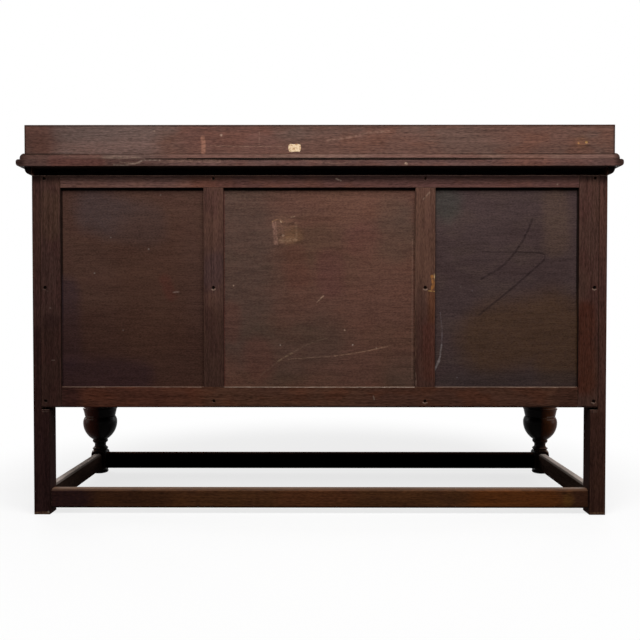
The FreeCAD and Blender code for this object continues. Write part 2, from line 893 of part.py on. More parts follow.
# Pear-drop pulls
def pull_rose(x, z):
    """Round back plate with a boss and two ears that hold the drop's pin."""
    away = Vector(0, -1, 0)
    plate = rod(rose_radius, Vector(x, front, z), away * rose)
    boss = Part.makeCone(rose_radius - rose, rose_boss_radius, rose_boss, Vector(x, front - rose, z), away)
    ears = []
    for side in (1, -1):
        near = x + side * (drop_lug / 2 + drop_lug_gap)
        far = near + side * ear
        low = min(near, far)
        arm = block(low, low + ear, drop_axis_y, front - rose, z - ear_radius, z + ear_radius)
        end = rod(ear_radius, Vector(low, drop_axis_y, z), Vector(ear, 0, 0))
        ears.append(arm.fuse(end))
    bore_half = drop_lug / 2 + drop_lug_gap + ear
    bore = rod(pull_pin, Vector(x - bore_half, drop_axis_y, z), Vector(2 * bore_half, 0, 0))
    return plate.fuse([boss] + ears).cut(bore)


def pull_pin_solid(x, z):
    half = drop_lug / 2 + drop_lug_gap + ear + pull_pin_proud
    return rod(pull_pin, Vector(x - half, drop_axis_y, z), Vector(2 * half, 0, 0))


def pull_mount(x, z):
    return [pull_rose(x, z), pull_pin_solid(x, z)]


def pear_drop(x, z):
    """A turned pear that hangs from a flat lug on the pin."""
    y = drop_axis_y
    lug = rod(drop_lug_radius, Vector(x - drop_lug / 2, y, z), Vector(drop_lug, 0, 0))
    neck_low = z - drop_neck_length
    tip_z = z - drop_length
    widest = (drop_radius, tip_z + drop_radius)
    waist = (drop_waist, (neck_low + 2 * widest[1]) / 3)
    base = (drop_tip, tip_z + drop_tip)
    slant = math.sqrt(0.5) * drop_tip
    pear = turned(x, y, (0, z - drop_lug_radius / 2), [
        (drop_neck, z - drop_lug_radius / 2),
        (drop_neck, neck_low),
        (drop_collar, neck_low),
        ((drop_throat, (neck_low + waist[1]) / 2), waist),
        (swell(waist, widest), widest),
        (swell(base, widest), base),
        ((slant, base[1] - slant), (0, tip_z))])
    bore = rod(pull_pin + pin_fit, Vector(x - drop_lug, y, z), Vector(2 * drop_lug, 0, 0))
    return lug.fuse(pear).cut(bore)


# Write every piece
os.makedirs("parts", exist_ok=True)

for name, piece in [("rear_post", rear_post_right()), ("front_post", front_post_right()),
                    ("front_leg", front_leg_right()), ("back_stile", back_stile_right())]:
    save(name + "_right", piece)
    save(name + "_left", other_side(piece))

save("rear_stretcher", long_stretcher(rear_post_inner, rear_stretcher_y, rear_stretcher_tenon(0)))
save("front_stretcher", long_stretcher(leg_face_x, leg_y, front_stretcher_tenon(0)))
save("side_stretchers", *both_sides(side_stretcher()))

save("back_top_rail", back_rail(back_opening_high, carcase_top, back_opening_high))
save("back_bottom_rail", back_rail(carcase_bottom, back_opening_low, back_opening_low - groove))
save("back_muntins", *both_sides(back_muntin_right()))
side_panel_x0 = bay_centre + muntin / 2
save("back_panel_right", back_panel_between(side_panel_x0, stile_edge))
save("back_panel_left", back_panel_between(-stile_edge, -side_panel_x0))
save("back_panel_centre", back_panel_between(muntin / 2 - bay_centre, bay_centre - muntin / 2))
save("back_screws", *[screw(x, z, 0) for x, z in screw_places()])

save("side_rails", *[piece for rail in side_rails_right() for piece in both_sides(rail)])
save("side_panels", *both_sides(side_panel_right()))

save("front_top_rail", front_rail_between(opening_top, carcase_top))
save("front_bottom_rail", front_rail_between(carcase_bottom, floor_top))
save("partitions", *both_sides(partition_right()))
save("drawer_dividers", *drawer_dividers())
save("drawer_runners", *drawer_runners())
save("floor_board", floor_board())
save("support_cleats", *support_cleats())
save("cupboard_shelves", *both_sides(cupboard_shelf_right()))

save("top_lower_board", top_lower_board())
save("top_upper_board", top_upper_board())
save("gallery_board", gallery_board())
save("top_bearers", *top_bearers())
save("bed_mould", *bed_mould())

fixed_leaves = [hinge_leaf(z, 1) for z in hinge_heights()]
hinge_pins = [hinge_pin_solid(z) for z in hinge_heights()]
save("hinge_plates", *[piece for solid in fixed_leaves + hinge_pins for piece in both_sides(solid)])

door_pull = (lock_x, lock_z - pull_below_lock)
moving_leaves = [hinge_leaf(z, -1) for z in hinge_heights()]
door_pieces = {
    "frame": door_frame_right(),
    "panel": [door_panel_right()],
    "moulding": door_moulding_right(),
    "brasswork": moving_leaves + [lock_case_right(), escutcheon_right()] + pull_mount(*door_pull),
    "drop": [pear_drop(*door_pull)],
}
for name, pieces in door_pieces.items():
    save("door_right_" + name, *pieces)
    save("door_left_" + name, *[other_side(piece) for piece in pieces])

for place, opening in drawer_openings.items():
    drawer = "drawer_" + place
    face, box_pieces = drawer_pieces(opening)
    pulls = drawer_pull_places(opening)
    save(drawer + "_front", face)
    save(drawer + "_box", *box_pieces)
    save(drawer + "_roses", *[piece for pull in pulls for piece in pull_mount(*pull)])
    for side, pull in zip(["left", "right"], pulls):
        save(drawer + "_drop_" + side, pear_drop(*pull))
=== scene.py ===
# %% [markdown]
# # A dark oak sideboard, seen from behind
#
# The construction is a CAD frame: every board, leg, hinge and drawer is there already, at its real
# size and on its own moving body. This lesson gives those pieces their looks: eased edges, stained
# oak with its grain the right way round on every member, aged brass, and the marks of a long life.
# Nothing here moves or resizes a CAD piece.
# The scene is in metres. Grain, wear and marks are written in millimetres, and MM turns them.

# %% Load the frame
import math
from collections import namedtuple

import bpy
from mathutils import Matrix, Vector
from mathutils.geometry import interpolate_bezier


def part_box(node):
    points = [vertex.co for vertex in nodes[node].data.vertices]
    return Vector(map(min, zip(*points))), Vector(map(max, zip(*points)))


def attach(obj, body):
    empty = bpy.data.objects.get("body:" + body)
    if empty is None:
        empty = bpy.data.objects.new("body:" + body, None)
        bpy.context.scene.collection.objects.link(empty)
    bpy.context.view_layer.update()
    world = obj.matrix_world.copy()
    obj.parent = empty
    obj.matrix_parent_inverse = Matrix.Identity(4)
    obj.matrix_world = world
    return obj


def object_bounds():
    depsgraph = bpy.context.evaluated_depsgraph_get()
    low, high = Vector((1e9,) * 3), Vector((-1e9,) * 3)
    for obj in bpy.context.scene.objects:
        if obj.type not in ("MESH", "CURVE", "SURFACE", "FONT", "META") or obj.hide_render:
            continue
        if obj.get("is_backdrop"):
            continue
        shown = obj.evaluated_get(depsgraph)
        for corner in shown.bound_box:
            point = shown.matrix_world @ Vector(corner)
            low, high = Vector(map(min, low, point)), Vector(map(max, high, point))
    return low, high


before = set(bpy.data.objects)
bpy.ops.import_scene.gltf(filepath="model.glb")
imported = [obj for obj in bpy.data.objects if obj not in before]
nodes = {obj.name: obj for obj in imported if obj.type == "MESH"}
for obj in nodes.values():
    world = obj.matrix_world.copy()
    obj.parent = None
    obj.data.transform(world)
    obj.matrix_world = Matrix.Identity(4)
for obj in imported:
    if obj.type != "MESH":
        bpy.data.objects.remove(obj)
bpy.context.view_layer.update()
MM = 0.001

# %% [markdown]
# ## Camera
#
# The picture was taken from about 1.7 metres behind the sideboard, at half its height, with the
# camera tilted down by one degree. A camera is best placed by such numbers and not by eye: the focal
# length in pixels gives the lens, and the upright edges of the posts tell how far it is turned aside.

# %% Place the camera
picture_pixels = 640
focal_pixels = 662.6
sensor_mm = 36.0
camera_place = (-0.0068, 1.9197, 0.5252)
tilt_down = math.radians(1.0)
turn_aside = math.radians(0.177)

scene = bpy.context.scene
scene.view_settings.view_transform = "Standard"
lens = bpy.data.cameras.new("camera")
lens.sensor_width = sensor_mm
lens.lens = sensor_mm * focal_pixels / picture_pixels
camera = bpy.data.objects.new("camera", lens)
camera.location = camera_place
camera.rotation_euler = (math.radians(90) - tilt_down, 0, math.radians(180) + turn_aside)
scene.collection.objects.link(camera)
scene.camera = camera

# %% [markdown]
# ## Small helpers for materials
#
# Colours are written as they look on a screen, in sRGB hex, but shaders work in linear light, so one
# function turns one into the other. A second function adds a shader node: it sets the node's
# properties and fills its inputs with plain values or with the outputs of other nodes, in the order
# in which the node shows them. Map Range is the node used most here. In order, it takes a value, the
# two ends of the range it comes from, and the two ends of the range it goes to, 0 and 1 if not given.
# Noise gathers around one half, so a range of 0.35 to 0.65 already takes in most of it. A Mix node
# has inputs for every kind of data: 4 and 5 are its two vectors, 6 and 7 its two colours.

# %% Colour and node helpers
smoothly = {"interpolation_type": "SMOOTHSTEP"}


def linear(colour):
    """Linear RGBA of an sRGB hex colour."""
    shares = [int(colour[i:i + 2], 16) / 255 for i in (1, 3, 5)]
    light = [s / 12.92 if s <= 0.04045 else ((s + 0.055) / 1.055) ** 2.4 for s in shares]
    return (*light, 1.0)


def add(tree, kind, inputs=(), **settings):
    """Adds a shader node with its settings, and fills its inputs in order, or by name or number."""
    node = tree.nodes.new("ShaderNode" + kind)
    for name, value in settings.items():
        setattr(node, name, value)
    for name, value in inputs.items() if isinstance(inputs, dict) else enumerate(inputs):
        if isinstance(value, bpy.types.NodeSocket):
            tree.links.new(value, node.inputs[name])
        else:
            node.inputs[name].default_value = value
    return node


def new_material(name):
    """An empty node material and its tree."""
    material = bpy.data.materials.new(name)
    material.use_nodes = True
    material.node_tree.nodes.clear()
    return material, material.node_tree


print("a brown oak stain in linear light:", [round(share, 3) for share in linear("#5a3d31")[:3]])

# %% [markdown]
# ## Floor, world and lamps
#
# The background is pure white. We get it from Light Path: the camera, and mirror-like reflections,
# see the floor and the world at strength 1, while the light that they throw on the wood stays low.
# Near the sideboard the floor shows part of its real light as well, so it keeps a soft shadow, and
# further out it fades to plain white. The key lamp is a wide panel close above and behind the top, so
# the upper boards are lightest, the light falls away towards the feet, and the space under the
# carcase is nearly black. Two weaker panels light the front, and two small ones, low down at the ends,
# draw the outer halves of the turned legs out of that black.

# %% World
ambient_strength = 0.025


def seen_directly(tree):
    """One for camera, mirror and glass rays, zero for light that falls on the object."""
    path = add(tree, "LightPath").outputs
    sharp = path["Is Camera Ray"]
    for ray in ("Is Glossy Ray", "Is Transmission Ray"):
        sharp = add(tree, "Math", [sharp, path[ray]], operation="MAXIMUM").outputs[0]
    return sharp


def studio_world():
    """White to the eye and in reflections, and nearly dark as a light."""
    world = bpy.data.worlds.new("white_studio")
    world.use_nodes = True
    tree = world.node_tree
    tree.nodes.clear()
    soft = add(tree, "Background", {"Color": linear("#ffffff"), "Strength": ambient_strength})
    white = add(tree, "Background", {"Color": linear("#ffffff"), "Strength": 1.0})
    both = add(tree, "MixShader", [seen_directly(tree), soft.outputs[0], white.outputs[0]])
    add(tree, "OutputWorld", {"Surface": both.outputs[0]})
    return world


scene.world = studio_world()
print(f"white world that lights the wood with {ambient_strength} of its strength")

# %% Floor
floor_bounce = "#383533"
floor_half = 6.0
shadow_share = 0.24
shadow_reach = 1.35
fade_start = 0.55 * shadow_reach


def pale_floor():
    """Painted studio floor: white to the eye, with a soft shadow near the object."""
    material, tree = new_material("floor_painted_matt")
    paint = add(tree, "BsdfDiffuse", {"Color": linear(floor_bounce)})
    bright_paint = add(tree, "BsdfDiffuse", {"Color": linear("#ffffff")})
    white = add(tree, "Emission", {"Color": linear("#ffffff"), "Strength": 1.0})
    place = add(tree, "TexCoord").outputs["Object"]
    away = add(tree, "VectorMath", [place], operation="LENGTH").outputs["Value"]
    near = add(tree, "MapRange", [away, fade_start, shadow_reach, shadow_share, 0.0], **smoothly)
    shown = add(tree, "MixShader", [near.outputs[0], white.outputs[0], bright_paint.outputs[0]])
    both = add(tree, "MixShader", [seen_directly(tree), paint.outputs[0], shown.outputs[0]])
    add(tree, "OutputMaterial", {"Surface": both.outputs[0]})
    return material


floor_mesh = bpy.data.meshes.new("floor")
corners = [(x * floor_half, y * floor_half, 0) for x, y in ((-1, -1), (1, -1), (1, 1), (-1, 1))]
floor_mesh.from_pydata(corners, [], [range(len(corners))])
floor_mesh.materials.append(pale_floor())
floor = bpy.data.objects.new("floor", floor_mesh)
scene.collection.objects.link(floor)
floor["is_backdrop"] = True
print(f"floor whose shadow fades out {shadow_reach} m from the middle")


# %% Lamps
def soft_panel(name, place, target, width, height, watts):
    """A rectangular lamp at a place, turned to face a target."""
    data = bpy.data.lights.new(name, "AREA")
    data.shape = "RECTANGLE"
    data.size = width
    data.size_y = height
    data.energy = watts
    lamp = bpy.data.objects.new(name, data)
    lamp.location = place
    lamp.rotation_euler = (Vector(target) - Vector(place)).to_track_quat("-Z", "Y").to_euler()
    lamp.visible_camera = False
    scene.collection.objects.link(lamp)


back_of_top = (0, 0.25, 0.90)
middle = (0, 0.1, 0.55)
soft_panel("key_above_back", (-0.18, 1.12, 2.10), back_of_top, width=2.2, height=1.2, watts=52)
soft_panel("fill_front_left", (-1.9, -2.6, 0.9), middle, width=1.6, height=1.2, watts=36)
soft_panel("fill_front_right", (2.3, -2.0, 1.1), middle, width=1.6, height=1.2, watts=36)
for x, watts in ((-2.2, 8), (2.2, 5)):
    turned_leg = (0.35 * x, -0.2, 0.18)
    soft_panel("low_side", (x, 0.0, 0.40), turned_leg, width=0.5, height=0.5, watts=watts)

# %% [markdown]
# ## Eased edges
#
# No board of this age has a razor-sharp edge: planing, polishing and knocks leave every arris about a
# millimetre round, and that thin round catches the light and draws the joints. The CAD meshes stay as
# they are and get a stack of modifiers. Weld joins the split corners, a planar Decimate removes the
# triangles inside flat faces, Bevel rounds what is sharper than 30 degrees, and Weighted Normal keeps
# the flat faces looking flat.

# %% Ease the arrises of the boards
weld_mm = 0.01
flat_angle = math.radians(0.5)
sharp_angle = math.radians(30)
thin_arris, frame_arris, handled_arris = 0.6, 0.9, 1.4
sides = ("left", "right")
drawers = ("upper", "middle", "lower")
arris_mm = {
    thin_arris: ["top_bearers", "partitions", "drawer_dividers", "drawer_runners", "floor_board",
                 "support_cleats", "cupboard_shelves", "back_panel_left", "back_panel_centre",
                 "back_panel_right", "side_panels"],
    frame_arris: ["back_stile_left", "back_stile_right", "back_top_rail", "back_bottom_rail",
                  "back_muntins", "side_rails", "front_top_rail", "front_bottom_rail", "front_post_left",
                  "front_post_right", "top_lower_board", "top_upper_board"],
    handled_arris: ["rear_post_left", "rear_post_right", "gallery_board", "rear_stretcher",
                    "front_stretcher", "side_stretchers"],
}
for side in sides:
    arris_mm[thin_arris] += [f"door_{side}_panel", f"door_{side}_moulding"]
    arris_mm[frame_arris] += [f"door_{side}_frame"]
for drawer in drawers:
    arris_mm[thin_arris] += [f"drawer_{drawer}_box"]
    arris_mm[frame_arris] += [f"drawer_{drawer}_front"]


def ease_edges(piece, width):
    """Rounds a piece's sharp edges by a width in millimetres."""
    weld = piece.modifiers.new("join_corners", "WELD")
    weld.merge_threshold = weld_mm * MM
    flat = piece.modifiers.new("clear_flats", "DECIMATE")
    flat.decimate_type = "DISSOLVE"
    flat.angle_limit = flat_angle
    ease = piece.modifiers.new("ease_arris", "BEVEL")
    ease.width = width * MM
    ease.segments = 2
    ease.limit_method = "ANGLE"
    ease.angle_limit = sharp_angle
    ease.use_clamp_overlap = False
    normals = piece.modifiers.new("flat_normals", "WEIGHTED_NORMAL")
    normals.keep_sharp = False


for width, names in arris_mm.items():
    for name in names:
        ease_edges(nodes[name], width)
    print(f"{len(names)} nodes eased by {width} mm")

# %% [markdown]
# ## The grain of oak
#
# The sideboard is oak, planed, stained dark brown and waxed. Oak shows long fibres, open pores that
# hold the stain as short dark dashes, and slow bands where the growth rings come to the surface. Each
# of these is noise drawn out along the grain, with its length and width in millimetres. The pores are
# really a third of a millimetre wide; here they are drawn coarser so that they show in the picture.
# The grain runs along each member, so the first step is to turn the piece's own coordinates. A start
# value then moves each board to another place in the noise, as if it came from another tree.

# %% Grain layers
ring_run, ring_width = 300, 15
fibre_run, fibre_width = 70, 4.0
flake_run, flake_width = 13, 3.0
pore_run, pore_width = 16, 2.0
cloud_run, cloud_width = 230, 120
blotch_run, blotch_width = 80, 45


def along_grain(tree, along, start, crossing=None):
    """Where a spot lies in its board, in metres, with X along the grain.
    Between two limits, crossing pieces take another direction, as the rails do between stiles."""
    place = add(tree, "TexCoord").outputs["Object"]
    x, y, z = add(tree, "SeparateXYZ", [place]).outputs
    orders = {"X": (x, y, z), "Y": (y, x, z), "Z": (z, x, y)}
    turned = add(tree, "CombineXYZ", orders[along]).outputs[0]
    if crossing:
        other, centre, reach = crossing
        across = add(tree, "CombineXYZ", orders[other]).outputs[0]
        between = add(tree, "Math", [x, centre, reach], operation="COMPARE").outputs[0]
        turned = add(tree, "Mix", {0: between, 4: turned, 5: across}, data_type="VECTOR").outputs[1]
    elsewhere = (start, 0.37 * start, 0.61 * start)
    return add(tree, "VectorMath", [turned, elsewhere]).outputs[0]


def streaks(tree, spot, run, width, detail=2.0):
    """Noise in patches about run millimetres long and width millimetres wide."""
    size = (1 / (run * MM), 1 / (width * MM), 1 / (width * MM))
    drawn_out = add(tree, "VectorMath", [spot, size], operation="MULTIPLY").outputs[0]
    return add(tree, "TexNoise", {"Vector": drawn_out, "Scale": 1.0, "Detail": detail}).outputs[0]


def lay(tree, under, colour, share, where=1.0):
    """Lays a colour over what is under it, by a share and by where that share applies."""
    shown = add(tree, "Math", [share, where], operation="MULTIPLY").outputs[0]
    return add(tree, "Mix", {0: shown, 6: under, 7: linear(colour)}, data_type="RGBA").outputs[2]


print(f"pores {pore_width} mm wide, fibres {fibre_width} mm, rings {ring_width} mm")

# %% [markdown]
# ## Wear, dust and painted shade
#
# Where an edge has been handled, the stain is gone and paler wood shows. The Bevel node gives a
# rounded normal near an edge, so the angle between it and the true normal tells how near an edge is.
# Dust settles on what faces up. What faces down, and what is turned in towards the middle, is darkened
# with painted shade. On the stretchers the pale edges and tops also stand in for a glint and a sheen,
# as painted light. Wear and dust are broken up with noise, so neither looks painted.

# %% Wear, dust and painted shade
wear_reach = 2.2
dust_colour = "#8f7f72"
# Painted shade: its colour, and its share on every face turned down.
painted_shade_colour = "#0b0706"
painted_shade_share = 0.85


def near_edge(tree):
    """Rises to one within about two millimetres of an edge."""
    rounded = add(tree, "Bevel", {"Radius": wear_reach * MM}, samples=4).outputs[0]
    true = add(tree, "NewGeometry").outputs["Normal"]
    alike = add(tree, "VectorMath", [rounded, true], operation="DOT_PRODUCT").outputs["Value"]
    return add(tree, "MapRange", [alike, 0.99, 0.82], **smoothly).outputs[0]


def facing(tree, axis, sign=1):
    """One where a piece's own surface faces along an axis, zero where it is turned well away."""
    normal = add(tree, "TexCoord").outputs["Normal"]
    part = add(tree, "SeparateXYZ", [normal]).outputs[axis]
    return add(tree, "MapRange", [part, sign * 0.5, sign * 0.95], **smoothly).outputs[0]


def facing_middle(tree):
    """One where a surface is turned to the middle of the sideboard's length, but not to the front."""
    coordinates = add(tree, "TexCoord").outputs
    place = add(tree, "SeparateXYZ", [coordinates["Object"]]).outputs
    normal = add(tree, "SeparateXYZ", [coordinates["Normal"]]).outputs
    outward = add(tree, "Math", [place[0], normal[0]], operation="MULTIPLY").outputs[0]
    inward = add(tree, "MapRange", [outward, -0.05, -0.20], **smoothly).outputs[0]
    not_front = add(tree, "MapRange", [normal[1], -0.6, -0.1], **smoothly).outputs[0]
    return add(tree, "Math", [inward, not_front], operation="MULTIPLY").outputs[0]


print(f"edges wear back by {wear_reach} mm")

# %% [markdown]
# ## Marks on the back
#
# The back carries scratches, chips, a torn paper's ghost, water stains and patches where the stain took
# differently, and some strokes are painted shade and painted highlights. Painting an image would be one
# way, but a few measured strokes are easier to move and stay sharp at any distance. A stroke is a path
# of points in millimetres, across and up the back, with a reach, a soft edge and a waver. Seen from
# behind, +X is on the left of the picture. Clouds are wide and soft, lines are joints, painted shadows
# and painted highlights, scratches are curves, and chips are single points. Each kind also says what
# share of it is kept where the surface has been rubbed: lines stay whole, and old scratches nearly
# vanish. All strokes share a few wavers, because each one costs a noise of its own.

# %% Kinds of stroke
Stroke = namedtuple("Stroke", "colour strength reach soft waver kept path")
curve_steps = 4
line_waver, scratch_waver, patch_waver, cloud_waver = 0.5, 1.2, 7.0, 18.0
widest_patch = 20
whole, cloud_kept, deep_kept, old_kept = 1.0, 0.85, 0.6, 0.2


def smooth(path):
    """More points on a path, along a curve that passes through the given ones."""
    points = [Vector((*point, 0)) for point in path]
    ends = points[:1] + points + points[-1:]
    curve = points[:1]
    for before, start, end, after in zip(ends, points, points[1:], ends[3:]):
        leave, arrive = start + (end - before) / 6, end - (after - start) / 6
        curve += interpolate_bezier(start, leave, arrive, end, curve_steps)[1:]
    return [(point.x, point.y) for point in curve]


def cloud(colour, strength, reach, *path):
    """A wide, soft change of tint along a path."""
    waver = patch_waver if reach < widest_patch else cloud_waver
    return Stroke(colour, strength, reach, 12 + 1.3 * reach, waver, cloud_kept, path)


def line(colour, strength, *path, reach=0.3, soft=1.5):
    """A joint, shadow or worn arris along straight runs."""
    return Stroke(colour, strength, reach, soft, line_waver, whole, path)


def scratch(colour, strength, *path, reach=0.2, soft=2.4, kept=old_kept):
    """A curved scratch or splinter through the given points."""
    return Stroke(colour, strength, reach, soft, scratch_waver, kept, smooth(path))


def chip(colour, strength, x, z, reach=0.8):
    """A small round spot."""
    return Stroke(colour, strength, reach, 2.0 + 0.6 * reach, scratch_waver, old_kept, [(x, z)])


print("a scratch through 3 points has", len(smooth([(0, 0), (20, 8), (40, 0)])), "points")


# %% Places along a stroke
def distance_to(tree, spot, path):
    """How far spots lie from a path, in millimetres."""
    nearest = None
    for start, end in zip(path, path[1:] or path):
        run = Vector((end[0] - start[0], end[1] - start[1], 0))
        slope = run / (run.length_squared or 1.0)
        offset = add(tree, "VectorMath", [spot, (*start, 0)], operation="SUBTRACT").outputs[0]
        share = add(tree, "VectorMath", [offset, slope], operation="DOT_PRODUCT").outputs["Value"]
        share = add(tree, "Clamp", [share]).outputs[0]
        foot = add(tree, "VectorMath", {0: run, "Scale": share}, operation="SCALE").outputs[0]
        gap = add(tree, "VectorMath", [offset, foot], operation="DISTANCE").outputs["Value"]
        if nearest is not None:
            gap = add(tree, "Math", [nearest, gap], operation="MINIMUM").outputs[0]
        nearest = gap
    return nearest


def shaken(tree, spot, waver):
    """The same spots, each moved aside by up to a few millimetres, so that a stroke's edge wavers."""
    wave = add(tree, "TexNoise", {"Vector": spot, "Scale": 1 / (8 + 4 * waver), "Detail": 3.0}).outputs[1]
    aside = add(tree, "VectorMath", [wave, (2 * waver, 2 * waver, 0), spot],
                operation="MULTIPLY_ADD").outputs[0]
    return add(tree, "VectorMath", [aside, (-waver, -waver, 0)]).outputs[0]


print("strokes waver by", [line_waver, scratch_waver, patch_waver, cloud_waver], "mm at most")

# %% Strokes on the rear face
rub_mm = 9.0


def paint_marks(tree, wood, marks):
    """Lays strokes over the wood of a rear face, rubbed away here and there."""
    x, _, z = add(tree, "SeparateXYZ", [add(tree, "TexCoord").outputs["Object"]]).outputs
    spot = add(tree, "CombineXYZ", [x, z]).outputs[0]
    spot = add(tree, "VectorMath", {0: spot, "Scale": 1 / MM}, operation="SCALE").outputs[0]
    rubbed = add(tree, "TexNoise", {"Vector": spot, "Scale": 1 / rub_mm, "Detail": 3.0}).outputs[0]
    behind = facing(tree, 1)
    held = {}
    for kept in sorted({mark.kept for mark in marks}):
        left = add(tree, "MapRange", [rubbed, 0.36, 0.58, kept], **smoothly).outputs[0]
        held[kept] = add(tree, "Math", [left, behind], operation="MULTIPLY").outputs[0]
    spots = {waver: shaken(tree, spot, waver) for waver in sorted({mark.waver for mark in marks})}
    for mark in marks:
        away = distance_to(tree, spots[mark.waver], mark.path)
        shown = add(tree, "MapRange", [away, mark.reach, mark.reach + mark.soft, mark.strength, 0.0],
                    **smoothly).outputs[0]
        wood = lay(tree, wood, mark.colour, shown, held[mark.kept])
    return wood


print(f"strokes are rubbed away in spots of about {rub_mm} mm")

# %% [markdown]
# ## Oak, planed and finished
#
# Three functions make every oak surface, because they differ only in stain, direction and wear. The
# first adds rings, fibres and flakes up to one tone, which makes the wood lighter or darker, and lets
# the pores darken it. The second ages it: worn edges and dust, with painted shade on what faces down
# and inward. The third mixes the stain, with slow clouds of a second tint and smaller blotches of a
# third where it took unevenly, lays the marks on it, and calls the other two. The back was left dry,
# so it is dull; the front was waxed and polished.

# %% Light and dark of the grain
ring_share, fibre_share, flake_share = 0.22, 0.34, 0.44
mean_light, light_swing = 1.08, 0.55
pore_depth, pore_darkening = 0.45, 0.8


def grain(tree, spot, length, width, contrast):
    """The light of the grain as a factor, its fibres and its open pores.
    A length or width below one makes the grain shorter or finer."""
    ring = streaks(tree, spot, ring_run * length, ring_width * width)
    fibre = streaks(tree, spot, fibre_run * length, fibre_width * width, 3.0)
    flake = streaks(tree, spot, flake_run * length, flake_width * width)
    pore = streaks(tree, spot, pore_run * length, pore_width * width, 1.0)
    tone = 0.0
    for layer, share in ((ring, ring_share), (fibre, fibre_share), (flake, flake_share)):
        tone = add(tree, "Math", [layer, share, tone], operation="MULTIPLY_ADD").outputs[0]
    swing = light_swing * contrast
    light = add(tree, "MapRange", [tone, 0.34, 0.66, mean_light - swing, mean_light + swing],
                **smoothly).outputs[0]
    holes = add(tree, "MapRange", [pore, 0.54, 0.68, 0.0, pore_depth * contrast], **smoothly).outputs[0]
    light = add(tree, "Math", [holes, -pore_darkening, light], operation="MULTIPLY_ADD").outputs[0]
    return light, fibre, holes


print(f"tone is {ring_share:.0%} rings, {fibre_share:.0%} fibres and {flake_share:.0%} flakes")


# %% Age
def aged(tree, wood, fibre, slow, worn_and_glint, wear, dust_and_sheen, dust_and_sheen_tint, inward_shade):
    """Wears the edges pale, lays a dusty tint on what faces up, and painted shade on what faces down or
    inward.
    """
    # Paler edges: wear, and on the stretchers partly a painted glint.
    rubbed = add(tree, "MapRange", [fibre, 0.38, 0.62, 0.15 * wear, wear], **smoothly).outputs[0]
    wood = lay(tree, wood, worn_and_glint, rubbed, near_edge(tree))
    # A dusty tint on what faces up; on the side stretchers it is partly dust and partly a painted sheen.
    dust_and_sheen_share = add(tree, "MapRange", [slow, 0.3, 0.6, 0.4 * dust_and_sheen, dust_and_sheen], **smoothly).outputs[0]
    wood = lay(tree, wood, dust_and_sheen_tint, dust_and_sheen_share, facing(tree, 2))
    # Painted shade on faces turned down, and on faces turned to the middle where a member asks for it.
    painted_shade = add(tree, "Math", [facing(tree, 2, -1), painted_shade_share], operation="MULTIPLY").outputs[0]
    if inward_shade:
        painted_shade = add(tree, "Math", [facing_middle(tree), inward_shade, painted_shade], operation="MULTIPLY_ADD").outputs[0]
    return lay(tree, wood, painted_shade_colour, painted_shade)


print("age is ready: pale edges, dusty tops, soot below")

# %% Oak surface
lathe_step, lathe_reach = 1.6, 400


def oak(name, colour, cloud_tint, blush=None, along="X", start=0.0, contrast=0.8, worn_and_glint="#8a6a56",
        wear=0.45, dust_and_sheen=0.35, dust_and_sheen_tint=dust_colour, inward_shade=0.0, crossing=None, marks=(), gloss=0.03,
        roughness=(0.62, 0.80), lathe=False, grain_length=1.0, grain_width=1.0, lipping=None):
    """Planed oak: drawn-out grain, dark pores, uneven stain, paler edges and dusty tops, partly painted
    glint and sheen on the stretchers, and painted shade below and inward.
    Lathe adds the rings of turned work, and lipping stains the edges that face the front."""
    material, tree = new_material(name)
    spot = along_grain(tree, along, start, crossing)
    light, fibre, holes = grain(tree, spot, grain_length, grain_width, contrast)
    slow = streaks(tree, spot, cloud_run, cloud_width, 4.0)
    blotch = streaks(tree, spot, blotch_run, blotch_width, 4.0)
    clouded = add(tree, "MapRange", [slow, 0.42, 0.62, 0.0, 0.7], **smoothly).outputs[0]
    blotched = add(tree, "MapRange", [blotch, 0.46, 0.64, 0.0, 0.6], **smoothly).outputs[0]
    wood = lay(tree, linear(colour), cloud_tint, clouded)
    wood = lay(tree, wood, blush or cloud_tint, blotched)
    if marks:
        wood = paint_marks(tree, wood, marks)
    if lipping:
        wood = lay(tree, wood, lipping, facing(tree, 1, -1))
    wood = add(tree, "VectorMath", {0: wood, "Scale": light}, operation="SCALE").outputs[0]
    wood = aged(tree, wood, fibre, slow, worn_and_glint, wear, dust_and_sheen, dust_and_sheen_tint, inward_shade)
    relief = add(tree, "Math", [fibre, holes], operation="SUBTRACT").outputs[0]
    if lathe:
        turned = streaks(tree, spot, lathe_step, lathe_reach, 1.0)
        relief = add(tree, "Math", [turned, relief]).outputs[0]
    bump = add(tree, "Bump", {"Strength": 0.30, "Distance": 0.4 * MM, "Height": relief}).outputs[0]
    rough = add(tree, "MapRange", [fibre, 0.3, 0.7, *roughness], **smoothly).outputs[0]
    shader = add(tree, "BsdfPrincipled", {"Base Color": wood, "Roughness": rough,
                                          "Specular IOR Level": gloss, "Normal": bump})
    add(tree, "OutputMaterial", {"Surface": shader.outputs[0]})
    return material


print(f"oak is ready, with lathe marks {lathe_step} mm apart for turned work")
